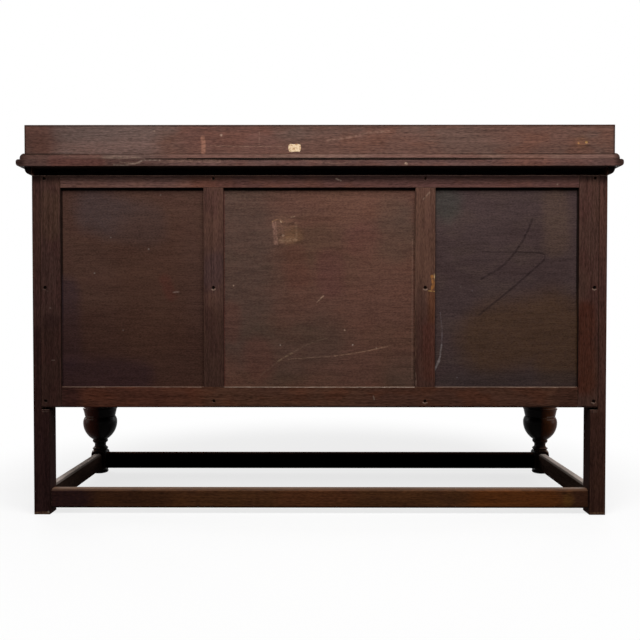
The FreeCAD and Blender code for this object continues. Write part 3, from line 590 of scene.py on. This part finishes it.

# %% [markdown]
# ## The marks of each member
#
# Each list below holds what shows on one member of the back, and a later stroke covers an earlier
# one. Along the open joint between the two layers of the top there is a dark line, and splinters have
# left pale wood beside it. The panels have clouds of different tints, where damp and light got at the
# stain. The bed mould and the front stretcher lie in deep shade and are painted black all along, and
# more painted shade lies under the top, over and beside the panels, at the feet and on the legs, with
# painted highlights on a ledge of each post and on the rings of the legs.

# %% Marks on the gallery and the top
pale_wood = "#a58a78"
raw_wood = "#9e6f5b"
# Black for dark joints, and for painted shade in recesses, under the rails and on faces in deep shade.
joint_and_shade_black = "#050303"
end_shade = "#2c1d19"
layer_joint, gallery_joint = 899.5, 911.2
gallery_marks = [
    cloud("#74605a", 0.55, 40, (600, 950), (470, 945)),
    cloud("#4f342e", 0.55, 30, (740, 955), (700, 955)),
    cloud("#5c4e49", 0.45, 14, (640, 972), (380, 980)),
    cloud("#62403a", 0.4, 25, (300, 960), (150, 950)),
    cloud("#564640", 0.35, 10, (100, 978), (-90, 980)),
    scratch(raw_wood, 0.6, (292, 952), (290, 936), (291, 917), reach=2.6, soft=5.0, kept=cloud_kept),
    chip(pale_wood, 0.6, 412, 969, 1.2),
    chip(pale_wood, 0.7, 246, 959, 1.6),
    scratch("#8d7060", 0.4, (272, 933), (200, 931), (95, 931)),
    scratch("#8d7060", 0.35, (150, 966), (151, 930)),
    scratch("#967666", 0.35, (-20, 945), (-85, 955), (-120, 964), (-175, 968), reach=0.6, soft=4.0),
    chip("#d9a860", 0.8, -668, 940, 1.4),
    chip("#c08a50", 0.6, -648, 938, 1.0),
    cloud("#7a5236", 0.3, 6, (-655, 940)),
    # Painted shade along the ends and the top edge of the gallery.
    line(end_shade, 0.75, (740, 914), (740, 985), (-740, 985), (-740, 914), reach=2, soft=5),
    line(joint_and_shade_black, 0.85, (740, gallery_joint), (580, gallery_joint), reach=0.8),
    line(joint_and_shade_black, 0.5, (580, gallery_joint), (440, gallery_joint)),
    line(joint_and_shade_black, 0.7, (-330, gallery_joint), (-740, gallery_joint), reach=0.5),
]
top_marks = [
    line(joint_and_shade_black, 1.0, (330, layer_joint), (0, layer_joint), (-340, layer_joint), reach=2.2),
    line(joint_and_shade_black, 0.95, (-340, layer_joint), (-430, layer_joint), reach=1.8),
    line(joint_and_shade_black, 0.8, (-430, layer_joint), (-560, layer_joint), reach=1.3),
    scratch("#b8a090", 0.7, (515, 885), (490, 884), (462, 888), (440, 896), (400, 897), reach=0.5),
    scratch(pale_wood, 0.5, (640, 907), (590, 904), (520, 905), (450, 903), reach=0.8, soft=4.0),
    scratch(pale_wood, 0.5, (560, 903), (480, 901)),
    scratch(pale_wood, 0.6, (500, 892), (470, 889), (450, 890)),
    scratch("#8a6a5c", 0.5, (400, 893), (330, 895), (250, 894), reach=1.5, soft=4.0),
    line(joint_and_shade_black, 0.85, (435, layer_joint), (330, layer_joint), reach=1.3),
    chip("#d8bca0", 0.8, -217, 887, 1.8),
    scratch("#8a6a5c", 0.4, (40, 896), (-40, 888), (-80, 892)),
    cloud("#7c4f40", 0.3, 8, (-480, 892), (-560, 894)),
    cloud("#78443c", 0.55, 8, (660, 890), (560, 893)),
    cloud("#45322d", 0.5, 10, (735, 888), (560, 888), (400, 888)),
    # Painted shade at the moulded ends of the top.
    line(end_shade, 0.85, (760, 914), (760, 882), reach=8, soft=22),
    line(end_shade, 0.85, (-760, 914), (-760, 882), reach=8, soft=22),
]
# Painted shade: the rear ends of the bed mould, in deep shade under the top, are painted black.
mould_marks = [line(joint_and_shade_black, 0.95, (-750, 872), (750, 872), reach=20, soft=4)]
print(len(gallery_marks) + len(top_marks), "marks on the gallery and the top")

# %% Marks on the left panel
dark_scratch = "#231a1c"
panel_top, panel_low, panel_side = 830, 326, 655


def shadow_under_rail(x0, x1):
    """Painted shadow along the top of a panel, where the rail stands over it."""
    return line(joint_and_shade_black, 0.9, (x0, panel_top - 2.5), (x1, panel_top - 2.5), reach=2.5, soft=3)


left_panel_marks = [
    shadow_under_rail(-panel_side, -293),
    # Painted shade along the sides of the panel, in the recess beside the muntin and the stile.
    line(joint_and_shade_black, 0.6, (-293, panel_low), (-293, panel_top), reach=0.8, soft=2.5),
    line(joint_and_shade_black, 0.8, (-panel_side, panel_low), (-panel_side, panel_top), reach=2, soft=2.5),
    cloud("#4f3827", 0.75, 50, (-440, 445), (-590, 480), (-615, 420)),
    cloud("#3a413b", 0.45, 22, (-322, 790)),
    cloud("#5a463a", 0.5, 16, (-598, 800), (-602, 690)),
    cloud("#39302f", 0.5, 14, (-330, 335), (-640, 338)),
    scratch(dark_scratch, 0.6, (-541, 752), (-515, 696), (-471, 638), (-411, 600),
            reach=1.0, soft=3.2, kept=deep_kept),
    scratch(dark_scratch, 0.55, (-415, 669), (-500, 668), reach=0.5, kept=deep_kept),
    scratch(dark_scratch, 0.6, (-500, 668), (-557, 666), (-572, 660), (-570, 648),
            reach=0.6, kept=deep_kept),
    scratch(dark_scratch, 0.65, (-570, 648), (-545, 625), (-484, 572), (-406, 509),
            reach=0.9, soft=3.0, kept=deep_kept),
    scratch("#7d7072", 0.4, (-307, 515), (-312, 470), (-311, 425)),
    scratch("#8a7e7c", 0.55, (-311, 432), (-304, 390), (-290, 364), reach=0.8, kept=deep_kept),
    scratch("#948886", 0.45, (-305, 394), (-292, 366), reach=1.6, kept=deep_kept),
    chip("#94887f", 0.6, -359, 580),
    chip("#80757a", 0.4, -389, 570),
    chip("#80757a", 0.4, -350, 349),
]
print(len(left_panel_marks), "marks on the left panel")

# %% Marks on the centre panel
centre_panel_marks = [
    shadow_under_rail(-243, 243),
    cloud("#48403a", 0.45, 50, (205, 770), (195, 620), (205, 480)),
    cloud("#463f37", 0.45, 25, (-190, 760), (-195, 690)),
    cloud("#4a3e36", 0.4, 35, (110, 400), (-10, 450)),
    cloud("#443b34", 0.45, 25, (-215, 360)),
    cloud("#63382f", 0.28, 14, (62, 660), (55, 600)),
    cloud("#66382f", 0.3, 18, (158, 420), (150, 380)),
    cloud("#66382f", 0.28, 10, (225, 520), (225, 460)),
    cloud("#623638", 0.3, 18, (-30, 640), (-30, 590)),
    cloud("#623638", 0.26, 22, (-110, 700)),
    cloud("#66453a", 0.4, 60, (-170, 620), (-180, 460)),
    cloud("#6c4a3c", 0.35, 30, (-60, 790), (-150, 800)),
    cloud("#7c5c4a", 0.4, 9, (92, 742), (88, 708)),
    cloud("#78583c", 0.45, 8, (74, 708), (62, 712)),
    scratch("#3a2820", 0.5, (92, 741), (80, 737), (66, 742), reach=1.2, soft=5.0),
    scratch("#3a2820", 0.5, (106, 712), (103, 704), (98, 716), reach=1.0, soft=4.0),
    scratch("#9a7464", 0.6, (115, 744), (112, 715), (110, 691), reach=2.6, soft=5.0),
    scratch("#9a7860", 0.55, (100, 697), (80, 698), (60, 700), reach=1.6, soft=6.0),
    scratch("#8a6c58", 0.4, (60, 742), (58, 725), (58, 703), reach=0.8, soft=4.0),
    chip("#a08470", 0.6, 92, 711, 1.6),
    line("#8a6a5a", 0.35, (-236, 700), (-236, 345), reach=0.6),
    line("#5a2c28", 0.5, (242, panel_low), (242, panel_top), reach=1.0),
    scratch("#b08560", 0.5, (120, 746), (104, 750), (92, 744), reach=0.6),
    scratch("#c0a184", 0.6, (100, 752), (97, 744)),
    scratch("#c0a184", 0.55, (72, 757), (63, 759)),
    scratch("#7d6655", 0.3, (150, 355), (120, 378), (98, 396), (60, 418), (20, 438), (-20, 450),
            reach=0.6),
    scratch("#94795f", 0.45, (105, 390), (88, 402), (68, 412), reach=0.8),
    scratch("#8d705d", 0.4, (80, 396), (20, 400), (-40, 404)),
    scratch("#a58068", 0.5, (-40, 404), (-90, 411), (-140, 421), (-180, 430)),
    scratch("#b09078", 0.65, (6, 541), (-10, 557)),
    chip("#c8b0a0", 0.65, -85, 432),
    chip("#c8b0a0", 0.5, 99, 432),
    chip("#c8a890", 0.6, 218, 583),
    chip("#c8a890", 0.45, -64, 470),
    chip("#c8a890", 0.45, -145, 424),
]
print(len(centre_panel_marks), "marks on the centre panel")

# %% Marks on the right panel
right_panel_marks = [
    shadow_under_rail(293, panel_side),
    # Painted shade along the side of the panel, in the recess beside the stile.
    line(joint_and_shade_black, 0.8, (panel_side, panel_low), (panel_side, panel_top), reach=2, soft=2.5),
    cloud("#473d3e", 0.55, 28, (570, 775), (440, 730)),
    cloud("#382a30", 0.6, 18, (648, 570), (640, 400)),
    cloud("#38221b", 0.5, 70, (590, 400), (390, 390)),
    cloud("#352428", 0.6, 25, (640, 360), (470, 350)),
    cloud("#4c3328", 0.5, 50, (440, 690), (420, 480)),
    cloud("#5e2c26", 0.3, 4.5, (393, 598), (378, 560)),
    chip("#94887f", 0.6, 531, 706),
    scratch("#a08a80", 0.4, (372, 566), (358, 567), kept=deep_kept),
    chip("#94887f", 0.45, 434, 676),
    chip("#94887f", 0.4, 403, 813),
    chip("#94887f", 0.4, 572, 615),
    chip("#94887f", 0.35, 500, 470),
]
print(len(right_panel_marks), "marks on the right panel")

# %% Marks on the rails and muntins
rail_low, rail_top, frame_top, post_joint, screw_row = 274, 326.5, 861, 706, 578
worn_edge = "#b09a8a"
# Dark brown for painted shade along arrises, under the top and on the legs, and for the joints beside the
# posts.
shade = "#0d0706"


def hole_rim(x, z):
    """The pale lower lip of a screw hole, where the stain has chipped away, partly a painted highlight
    where the lip catches the light.
    """
    return scratch("#9a8070", 0.7, (x - 4.5, z - 4), (x, z - 6), (x + 4.5, z - 4), reach=0.3)


# Painted shadow of the top's overhang, falling on the upper part of the frame.
painted_top_shadow = line(shade, 0.85, (-740, frame_top), (740, frame_top), reach=4, soft=22)
top_rail_marks = [
    cloud("#6e544c", 0.4, 12, (640, 840), (350, 840)),
    cloud("#70432f", 0.15, 12, (330, 840), (240, 840)),
    painted_top_shadow,
    scratch("#8d7a6c", 0.5, (-42, 852), (-54, 848), reach=0.5),
    chip("#a09080", 0.5, -600, 838),
]
bottom_rail_marks = [
    # Painted shade along the lower arris of the rail.
    line(shade, 0.85, (-660, rail_low), (660, rail_low), reach=1.5, soft=4),
    line(worn_edge, 0.9, (651, rail_top), (545, rail_top), reach=0.7),
    line(worn_edge, 0.35, (545, rail_top), (420, rail_top)),
    line(worn_edge, 0.9, (420, rail_top), (300, rail_top), reach=0.6),
    line("#e0ccb8", 0.9, (240, rail_top), (-241, rail_top), reach=0.6),
    line(worn_edge, 0.7, (-296, rail_top), (-480, rail_top), reach=0.5),
    line("#c8b09c", 0.9, (-480, rail_top), (-650, rail_top), reach=0.6),
    scratch("#8d7a6c", 0.5, (-137, 303), (-139, 294)),
    cloud("#582d20", 0.4, 25, (600, 300), (350, 300)),
    cloud("#2f1d1e", 0.7, 18, (660, 300), (640, 300)),
    cloud("#35201c", 0.4, 18, (-660, 300), (-630, 300)),
    hole_rim(-268, 290),
]
muntin_marks = [
    cloud("#634638", 0.4, 30, (-268, 800), (-268, 620)),
    cloud("#6e4022", 0.45, 4, (-287, 560), (-287, 500)),
    scratch("#a8703a", 0.7, (-285, 606), (-288, 590), (-286, 572), reach=2.2, soft=3.5),
    scratch("#d8b480", 0.7, (-291, 612), (-292, 596)),
    scratch("#c9a060", 0.7, (-291, 568), (-276, 570), reach=0.3, soft=1.6),
    scratch("#9a8272", 0.3, (-262, 800), (-278, 818), reach=0.8),
    scratch("#98806f", 0.5, (240, 340), (236, 330), reach=0.6),
    scratch("#98806f", 0.5, (-244, 362), (-245, 330)),
    line("#7a5a4a", 0.5, (-243.5, 690), (-243.5, 400)),
    cloud("#3f3034", 0.45, 14, (262, 640), (275, 600)),
    # The lower parts of the muntins are darker: painted shade, for the light falling away towards the
    # feet.
    cloud("#2c1c16", 0.45, 30, (268, 470), (268, 330)),
    cloud("#3a2018", 0.35, 30, (-268, 470), (-268, 330)),
    cloud("#5e2e22", 0.3, 8, (-280, 470), (-280, 360)),
    hole_rim(268, screw_row),
    hole_rim(-268, screw_row),
]
print(len(top_rail_marks) + len(bottom_rail_marks) + len(muntin_marks), "marks on the rails and muntins")

# %% Marks on the stiles and posts
stile_marks = [
    # Painted shade along the lower arrises of the stiles.
    line(shade, 0.85, (650, rail_low), (712, rail_low), reach=1.5, soft=4),
    line(shade, 0.85, (-650, rail_low), (-712, rail_low), reach=1.5, soft=4),
    line(shade, 0.6, (post_joint, rail_low), (post_joint, frame_top), reach=0.4),
    line(shade, 0.6, (-post_joint, rail_low), (-post_joint, frame_top), reach=0.4),
    cloud("#2a1815", 0.6, 14, (680, 480), (680, 300)),
    cloud("#2c1c1e", 0.3, 14, (680, 820), (680, 500)),
    cloud("#4a2213", 0.6, 12, (-672, 520), (-672, 330)),
    cloud("#55402f", 0.3, 10, (682, 800), (682, 720)),
    scratch("#7d6a60", 0.45, (688, 569), (699, 574)),
    chip("#7d6a60", 0.4, 682, 526),
    scratch("#7d6a60", 0.4, (672, 394), (679, 394)),
    painted_top_shadow,
    hole_rim(-695, screw_row),
    hole_rim(-695, 290),
]
post_marks = [
    cloud("#261718", 0.6, 25, (716, 430), (706, 20)),
    cloud("#4c3022", 0.35, 20, (-706, 230), (-706, 20)),
    cloud("#5a3c32", 0.4, 20, (-718, 800), (-718, 300)),
    # Painted highlight on the ledge of each post's rebate, where the light from above catches it.
    line("#8a7468", 0.22, (704, 263), (690, 263), reach=0.5),
    line("#8a7468", 0.22, (-704, 263), (-690, 263), reach=0.5),
    scratch("#8a6a50", 0.6, (728, 3), (700, 4), (686, 3), reach=2.0, soft=3.0),
    scratch("#8a6a50", 0.6, (-728, 3), (-705, 4), (-686, 3), reach=2.0, soft=3.0),
    chip("#b0a898", 0.7, 690, 7, 1.2),
    painted_top_shadow,
]
print(len(stile_marks) + len(post_marks), "marks on the stiles and posts")

# %% Marks on the stretchers and legs
stretcher_low = 16.5
leg_axis, highlight_ring_heights = 705, (176, 184)
stretcher_marks = [
    cloud("#3c2418", 0.7, 40, (620, 40), (440, 40)),
    cloud("#2a191b", 0.9, 25, (700, 40), (630, 40)),
    cloud("#2e1b1a", 0.55, 12, (-700, 40), (-670, 40)),
    cloud("#623722", 0.45, 25, (60, 35), (-40, 35)),
    cloud("#6e3a16", 0.6, 25, (-430, 35), (-570, 35)),
    cloud("#6e4a20", 0.5, 4, (-635, 40), (-635, 34)),
    # Painted shade along the lower arris of the stretcher.
    line(shade, 0.85, (690, stretcher_low), (-690, stretcher_low), reach=1.5, soft=3),
]
# Painted shade: the rear face of the front stretcher, in shade under the carcase, is painted black.
shade_marks = [line(joint_and_shade_black, 1.0, (-690, 40), (690, 40), reach=40, soft=2)]
leg_marks = []
for x in (leg_axis, -leg_axis):
    # Painted shade on the rear face of each leg's lower block, in the shade under the carcase.
    leg_marks.append(line(shade, 0.95, (x, 5), (x, 66), reach=32, soft=22))
    # Painted highlights on the outer half of the rings, where they catch the light.
    leg_marks += [line("#9a8a80", 0.45, (1.01 * x, z), (1.05 * x, z), reach=0.5) for z in highlight_ring_heights]
print(len(stretcher_marks) + len(leg_marks), "marks on the stretchers and legs")

# %% [markdown]
# ## Stained oak on every member
# The boards were stained one by one, so each has its own brown: the top is reddest and lightest, the
# posts are nearly black, and the three panels go from brown through red to a purple grey. The frame
# and the top are of slow-grown oak with close grain, and the thin panels show short flecks. Feet have
# worn the tops of the stretchers pale, and that pale also stands in for a reflection of the bright
# surroundings: painted light. Faces of the stiles, muntins, posts and side stretchers turned to the
# middle get painted shade.

# %% Dress the stained members
# Each row: name, stain, cloud tint, blotch tint, grain direction, contrast, marks, CAD nodes
members = [
    ("gallery", "#63473e", "#5f4a42", "#664438", "X", 0.8, gallery_marks, ["gallery_board"]),
    ("top_upper", "#765950", "#6e4e45", "#7a5e52", "X", 0.65, gallery_marks + top_marks,
     ["top_upper_board"]),
    ("top_lower", "#5f4641", "#583f39", "#604038", "X", 0.95, top_marks, ["top_lower_board"]),
    ("bed_mould", "#5c4036", "#523830", "#60443a", "X", 0.7, mould_marks, ["bed_mould"]),
    ("top_rail", "#5a3c36", "#543a36", "#5e3c31", "X", 0.8, top_rail_marks, ["back_top_rail"]),
    ("bottom_rail", "#55382b", "#4c3128", "#593425", "X", 0.85, bottom_rail_marks, ["back_bottom_rail"]),
    ("muntins", "#533a32", "#583d33", "#4d332e", "Z", 0.75, muntin_marks, ["back_muntins"]),
    ("stiles", "#4a332c", "#4e352b", "#482d28", "Z", 0.85, stile_marks,
     ["back_stile_left", "back_stile_right"]),
    ("rear_posts", "#442d26", "#402a28", "#3e2724", "Z", 0.85, post_marks,
     ["rear_post_left", "rear_post_right"]),
    ("front_posts", "#523729", "#4a3023", "#573a28", "Z", 0.8, (),
     ["front_post_left", "front_post_right"]),
    ("rear_stretcher", "#54341f", "#5c3820", "#492c1e", "X", 0.8, stretcher_marks, ["rear_stretcher"]),
    ("front_stretcher", "#472c20", "#4c3224", "#41281e", "X", 0.7, shade_marks, ["front_stretcher"]),
    ("side_stretchers", "#3e2f29", "#42332c", "#382a25", "Y", 0.8, (), ["side_stretchers"]),
    ("side_rails", "#4e3326", "#553826", "#4a2e24", "Y", 0.8, (), ["side_rails"]),
    ("side_panels", "#5a3c2d", "#4f3327", "#60402e", "Z", 0.8, (), ["side_panels"]),
    ("front_rails", "#53382b", "#4a3023", "#583a2a", "X", 0.8, (),
     ["front_top_rail", "front_bottom_rail", "drawer_dividers"]),
    ("panel_left", "#483938", "#423332", "#4b3c38", "X", 0.6, left_panel_marks, ["back_panel_left"]),
    ("panel_centre", "#604339", "#584033", "#624237", "X", 0.6, centre_panel_marks,
     ["back_panel_centre"]),
    ("panel_right", "#50382f", "#49322b", "#4e352d", "X", 0.6, right_panel_marks,
     ["back_panel_right"]),
]
close_grown = {"grain_length": 0.9, "grain_width": 0.6}
flecked = {"grain_length": 0.4, "grain_width": 0.7}
board_step = 1.7
special = {
    "gallery": close_grown, "top_upper": close_grown, "top_lower": close_grown,
    "top_rail": close_grown, "bottom_rail": close_grown,
    # Stiles, muntins and rear posts get painted shade on the faces turned to the middle.
    "stiles": {"inward_shade": 0.8, **close_grown}, "muntins": {"inward_shade": 0.6, **close_grown},
    "rear_posts": {"inward_shade": 0.6, "gloss": 0.01, **close_grown},
    # The side stretchers' pale edges and pale tops are partly wear and dust and partly a painted
    # reflection of the bright surroundings, and their inner faces get painted shade.
    "side_stretchers": {"inward_shade": 0.5, "wear": 0.8, "worn_and_glint": "#b8a898", "dust_and_sheen": 1.0,
                        "dust_and_sheen_tint": "#d8c8be", "gloss": 0.0},
    # The rear stretcher's pale top edges are wear, and partly a painted glint.
    "rear_stretcher": {"wear": 0.7, "worn_and_glint": "#a08c7f", "dust_and_sheen": 0.30, **close_grown},
    "front_stretcher": {"gloss": 0.0, "dust_and_sheen": 0.0, "wear": 0.1},
    "panel_left": flecked, "panel_centre": flecked, "panel_right": flecked,
}


def dress(material, *names):
    """Gives CAD nodes their material."""
    for name in names:
        nodes[name].data.materials[0] = material


for number, (name, colour, cloud_tint, blush, along, contrast, marks, names) in enumerate(members):
    dress(oak("oak_stained_" + name, colour, cloud_tint, blush, along, board_step * number, contrast,
              marks=marks, **special.get(name, {})), *names)
print(len(members), "stained oak materials")

# %% [markdown]
# ## Polished front and turned legs
#
# The front was the side to be looked at, so it was polished: the same oak with more gloss. Rails cross
# between the stiles of a door frame, and the turned legs show fine rings left by the lathe tool.

# %% Dress the polished front and the turned legs
polished = {"gloss": 0.25, "roughness": (0.32, 0.50), "dust_and_sheen": 0.15}
dress(oak("oak_polished_drawers", "#5c3e30", "#533526", start=40.0, **polished),
      *[f"drawer_{drawer}_front" for drawer in drawers])
panel_tongue = 8 * MM
for side in sides:
    low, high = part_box(f"door_{side}_panel")
    between_stiles = ("X", (low.x + high.x) / 2, (high.x - low.x) / 2 - panel_tongue)
    dress(oak(f"oak_polished_door_{side}", "#5a3c2f", "#4f3325", along="Z", start=50.0,
              crossing=between_stiles, **polished), f"door_{side}_frame", f"door_{side}_moulding")
    dress(oak(f"oak_polished_door_panel_{side}", "#634335", "#573a2a", along="Z", start=55.0,
              **polished), f"door_{side}_panel")
# The inner halves of the turned legs, turned to the middle, are painted dark as shade.
for side, colour, cloud_tint in (("left", "#42210f", "#4a2914"), ("right", "#3c180f", "#442013")):
    dress(oak(f"oak_turned_leg_{side}", colour, cloud_tint, along="Z", start=60.0, contrast=0.5,
              lathe=True, gloss=0.025, roughness=(0.28, 0.40), inward_shade=1.0, marks=leg_marks),
          f"front_leg_{side}")
print("polished front and turned legs dressed")

# %% [markdown]
# ## Bare oak inside
#
# Nobody stains the inside of a drawer. Linings, runners and shelves are planed oak left bare, gone
# brown and grey with dust. A drawer's sides run front to back and its back and bottom run across, so
# between the sides the grain turns. The partitions show at the front, so their front edges are stained.
# The strips that carry the top sit in deep shade, and their near-black colour is painted shade.

# %% Dress the inside
bare = {"contrast": 0.6, "worn_and_glint": "#b09a7c", "wear": 0.3, "dust_and_sheen": 0.2, "roughness": (0.60, 0.75)}
lining = 9 * MM
for number, drawer in enumerate(drawers):
    low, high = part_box(f"drawer_{drawer}_box")
    inside = ("X", (low.x + high.x) / 2, (high.x - low.x) / 2 - lining)
    dress(oak(f"oak_bare_drawer_{drawer}", "#8d7152", "#7d6247", along="Y", start=70.0 + 3 * number,
              crossing=inside, **bare), f"drawer_{drawer}_box")
dress(oak("oak_bare_uprights", "#7d6247", "#6c533c", along="Z", start=80.0, lipping="#53382b", **bare),
      "partitions")
dress(oak("oak_bare_boards", "#7a6046", "#6a523c", start=84.0, **bare), "floor_board",
      "cupboard_shelves")
dress(oak("oak_bare_runners", "#86694b", "#745a40", along="Y", start=88.0, **bare), "drawer_runners",
      "support_cleats")
# Painted shade: the bearers are near black, so the recess under the top reads dark.
dress(oak("oak_painted_shade_bearers", "#140c0a", "#100a08", start=92.0, contrast=0.6), "top_bearers")
print("inside dressed")

# %% [markdown]
# ## Aged brass and old steel
#
# The drops, roses, hinges and escutcheons are cast brass that was lacquered once. It has gone brown in
# the hollows and stays bright where fingers touch it, so the same nearness to an edge that wears wood
# pale is used to clean the metal. The screws in the back are plain steel in deep holes, rusted dark.


# %% Brass
def aged_brass(name):
    """Cast brass, tarnished: brown film, brighter rubbed edges, a soft cloudy gloss."""
    material, tree = new_material(name)
    place = add(tree, "TexCoord").outputs["Object"]
    film_mm, grit_mm = 9, 1.2
    film = add(tree, "TexNoise", {"Vector": place, "Scale": 1 / (film_mm * MM), "Detail": 5.0}).outputs[0]
    grit = add(tree, "TexNoise", {"Vector": place, "Scale": 1 / (grit_mm * MM), "Detail": 2.0}).outputs[0]
    clean = add(tree, "MapRange", [film, 0.35, 0.65], **smoothly).outputs[0]
    rough = add(tree, "MapRange", [film, 0.3, 0.7, 0.48, 0.28], **smoothly).outputs[0]
    metal = lay(tree, linear("#4a3820"), "#7c5e32", clean)
    metal = lay(tree, metal, "#a8844a", near_edge(tree))
    bump = add(tree, "Bump", {"Strength": 0.25, "Distance": 0.2 * MM, "Height": grit}).outputs[0]
    shader = add(tree, "BsdfPrincipled", {"Base Color": metal, "Metallic": 1.0, "Roughness": rough,
                                          "Normal": bump})
    add(tree, "OutputMaterial", {"Surface": shader.outputs[0]})
    return material


fittings = ["hinge_plates"] + [f"door_{side}_{part}" for side in sides for part in ("brasswork", "drop")]
fittings += [f"drawer_{drawer}_{part}" for drawer in drawers
             for part in ("roses", "drop_left", "drop_right")]
dress(aged_brass("brass_cast_aged"), *fittings)
print(len(fittings), "nodes of brass")


# %% Steel
def rusted_steel(name):
    """Turned steel, rusted: dull, nearly black, with brown bloom."""
    material, tree = new_material(name)
    place = add(tree, "TexCoord").outputs["Object"]
    rust_mm = 2.5
    rust = add(tree, "TexNoise", {"Vector": place, "Scale": 1 / (rust_mm * MM), "Detail": 4.0}).outputs[0]
    bloom = add(tree, "MapRange", [rust, 0.4, 0.6], **smoothly).outputs[0]
    rough = add(tree, "MapRange", [rust, 0.3, 0.7, 0.55, 0.85], **smoothly).outputs[0]
    metal = lay(tree, linear("#15100e"), "#3a2316", bloom)
    bump = add(tree, "Bump", {"Strength": 0.5, "Distance": 0.3 * MM, "Height": rust}).outputs[0]
    shader = add(tree, "BsdfPrincipled", {"Base Color": metal, "Metallic": 0.4, "Roughness": rough,
                                          "Specular IOR Level": 0.1, "Normal": bump})
    add(tree, "OutputMaterial", {"Surface": shader.outputs[0]})
    return material


dress(rusted_steel("steel_turned_rusted"), "back_screws")
print("screws rusted")

# %% [markdown]
# ## A scrap of paper
#
# A blank scrap of old paper still sticks to the back of the gallery. It is thinner than a card, with
# torn corners, so we draw its listed outline, fill it with one face and give it a thickness. Half of
# that thickness goes into the board, so that no gap shows behind the paper.

# %% Paper scrap
paper_thick = 0.2
paper_middle = (62, 927)
torn_outline = [(-15.5, -4), (-13, -9.8), (-4, -9), (6, -10), (13.5, -8.8), (15.8, -2), (15.2, 6),
                (11.5, 9.8), (2, 9.2), (-7, 10), (-14, 8.6), (-15.8, 4)]


def aged_paper(name):
    """Wove paper, browned: cream fibres with darker foxing."""
    material, tree = new_material(name)
    place = add(tree, "TexCoord").outputs["Object"]
    fox_mm = 4.0
    fox = add(tree, "TexNoise", {"Vector": place, "Scale": 1 / (fox_mm * MM), "Detail": 5.0}).outputs[0]
    browned = add(tree, "MapRange", [fox, 0.40, 0.68], **smoothly).outputs[0]
    rough = add(tree, "MapRange", [fox, 0.3, 0.7, 0.75, 0.9], **smoothly).outputs[0]
    sheet = lay(tree, linear("#ecd0ac"), "#b98c62", browned)
    bump = add(tree, "Bump", {"Strength": 0.2, "Distance": 0.1 * MM, "Height": fox}).outputs[0]
    shader = add(tree, "BsdfPrincipled", {"Base Color": sheet, "Roughness": rough,
                                          "Specular IOR Level": 0.2, "Normal": bump})
    add(tree, "OutputMaterial", {"Surface": shader.outputs[0]})
    return material


gallery_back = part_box("gallery_board")[1].y
paper_mesh = bpy.data.meshes.new("paper_scrap")
paper_x, paper_z = paper_middle
corners = [((paper_x + x) * MM, gallery_back, (paper_z + z) * MM) for x, z in torn_outline]
paper_mesh.from_pydata(corners, [], [range(len(corners))])
paper_mesh.materials.append(aged_paper("paper_wove_browned"))
paper = bpy.data.objects.new("paper_scrap", paper_mesh)
scene.collection.objects.link(paper)
thicken = paper.modifiers.new("thickness", "SOLIDIFY")
thicken.thickness = 2 * paper_thick * MM
thicken.offset = 0.0
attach(paper, "carcase")
print("paper scrap", [round(size / MM, 1) for size in paper.dimensions])

# %% [markdown]
# ## Write the sizes and finish
#
# Looks must not change the size of the object. The box of the dressed model is printed here; it
# differs from the box of the CAD frame only by the thickness of the paper.

# %% Sizes and finish
low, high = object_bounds()
print("visual box", [round(v, 4) for v in (*low, *high)])
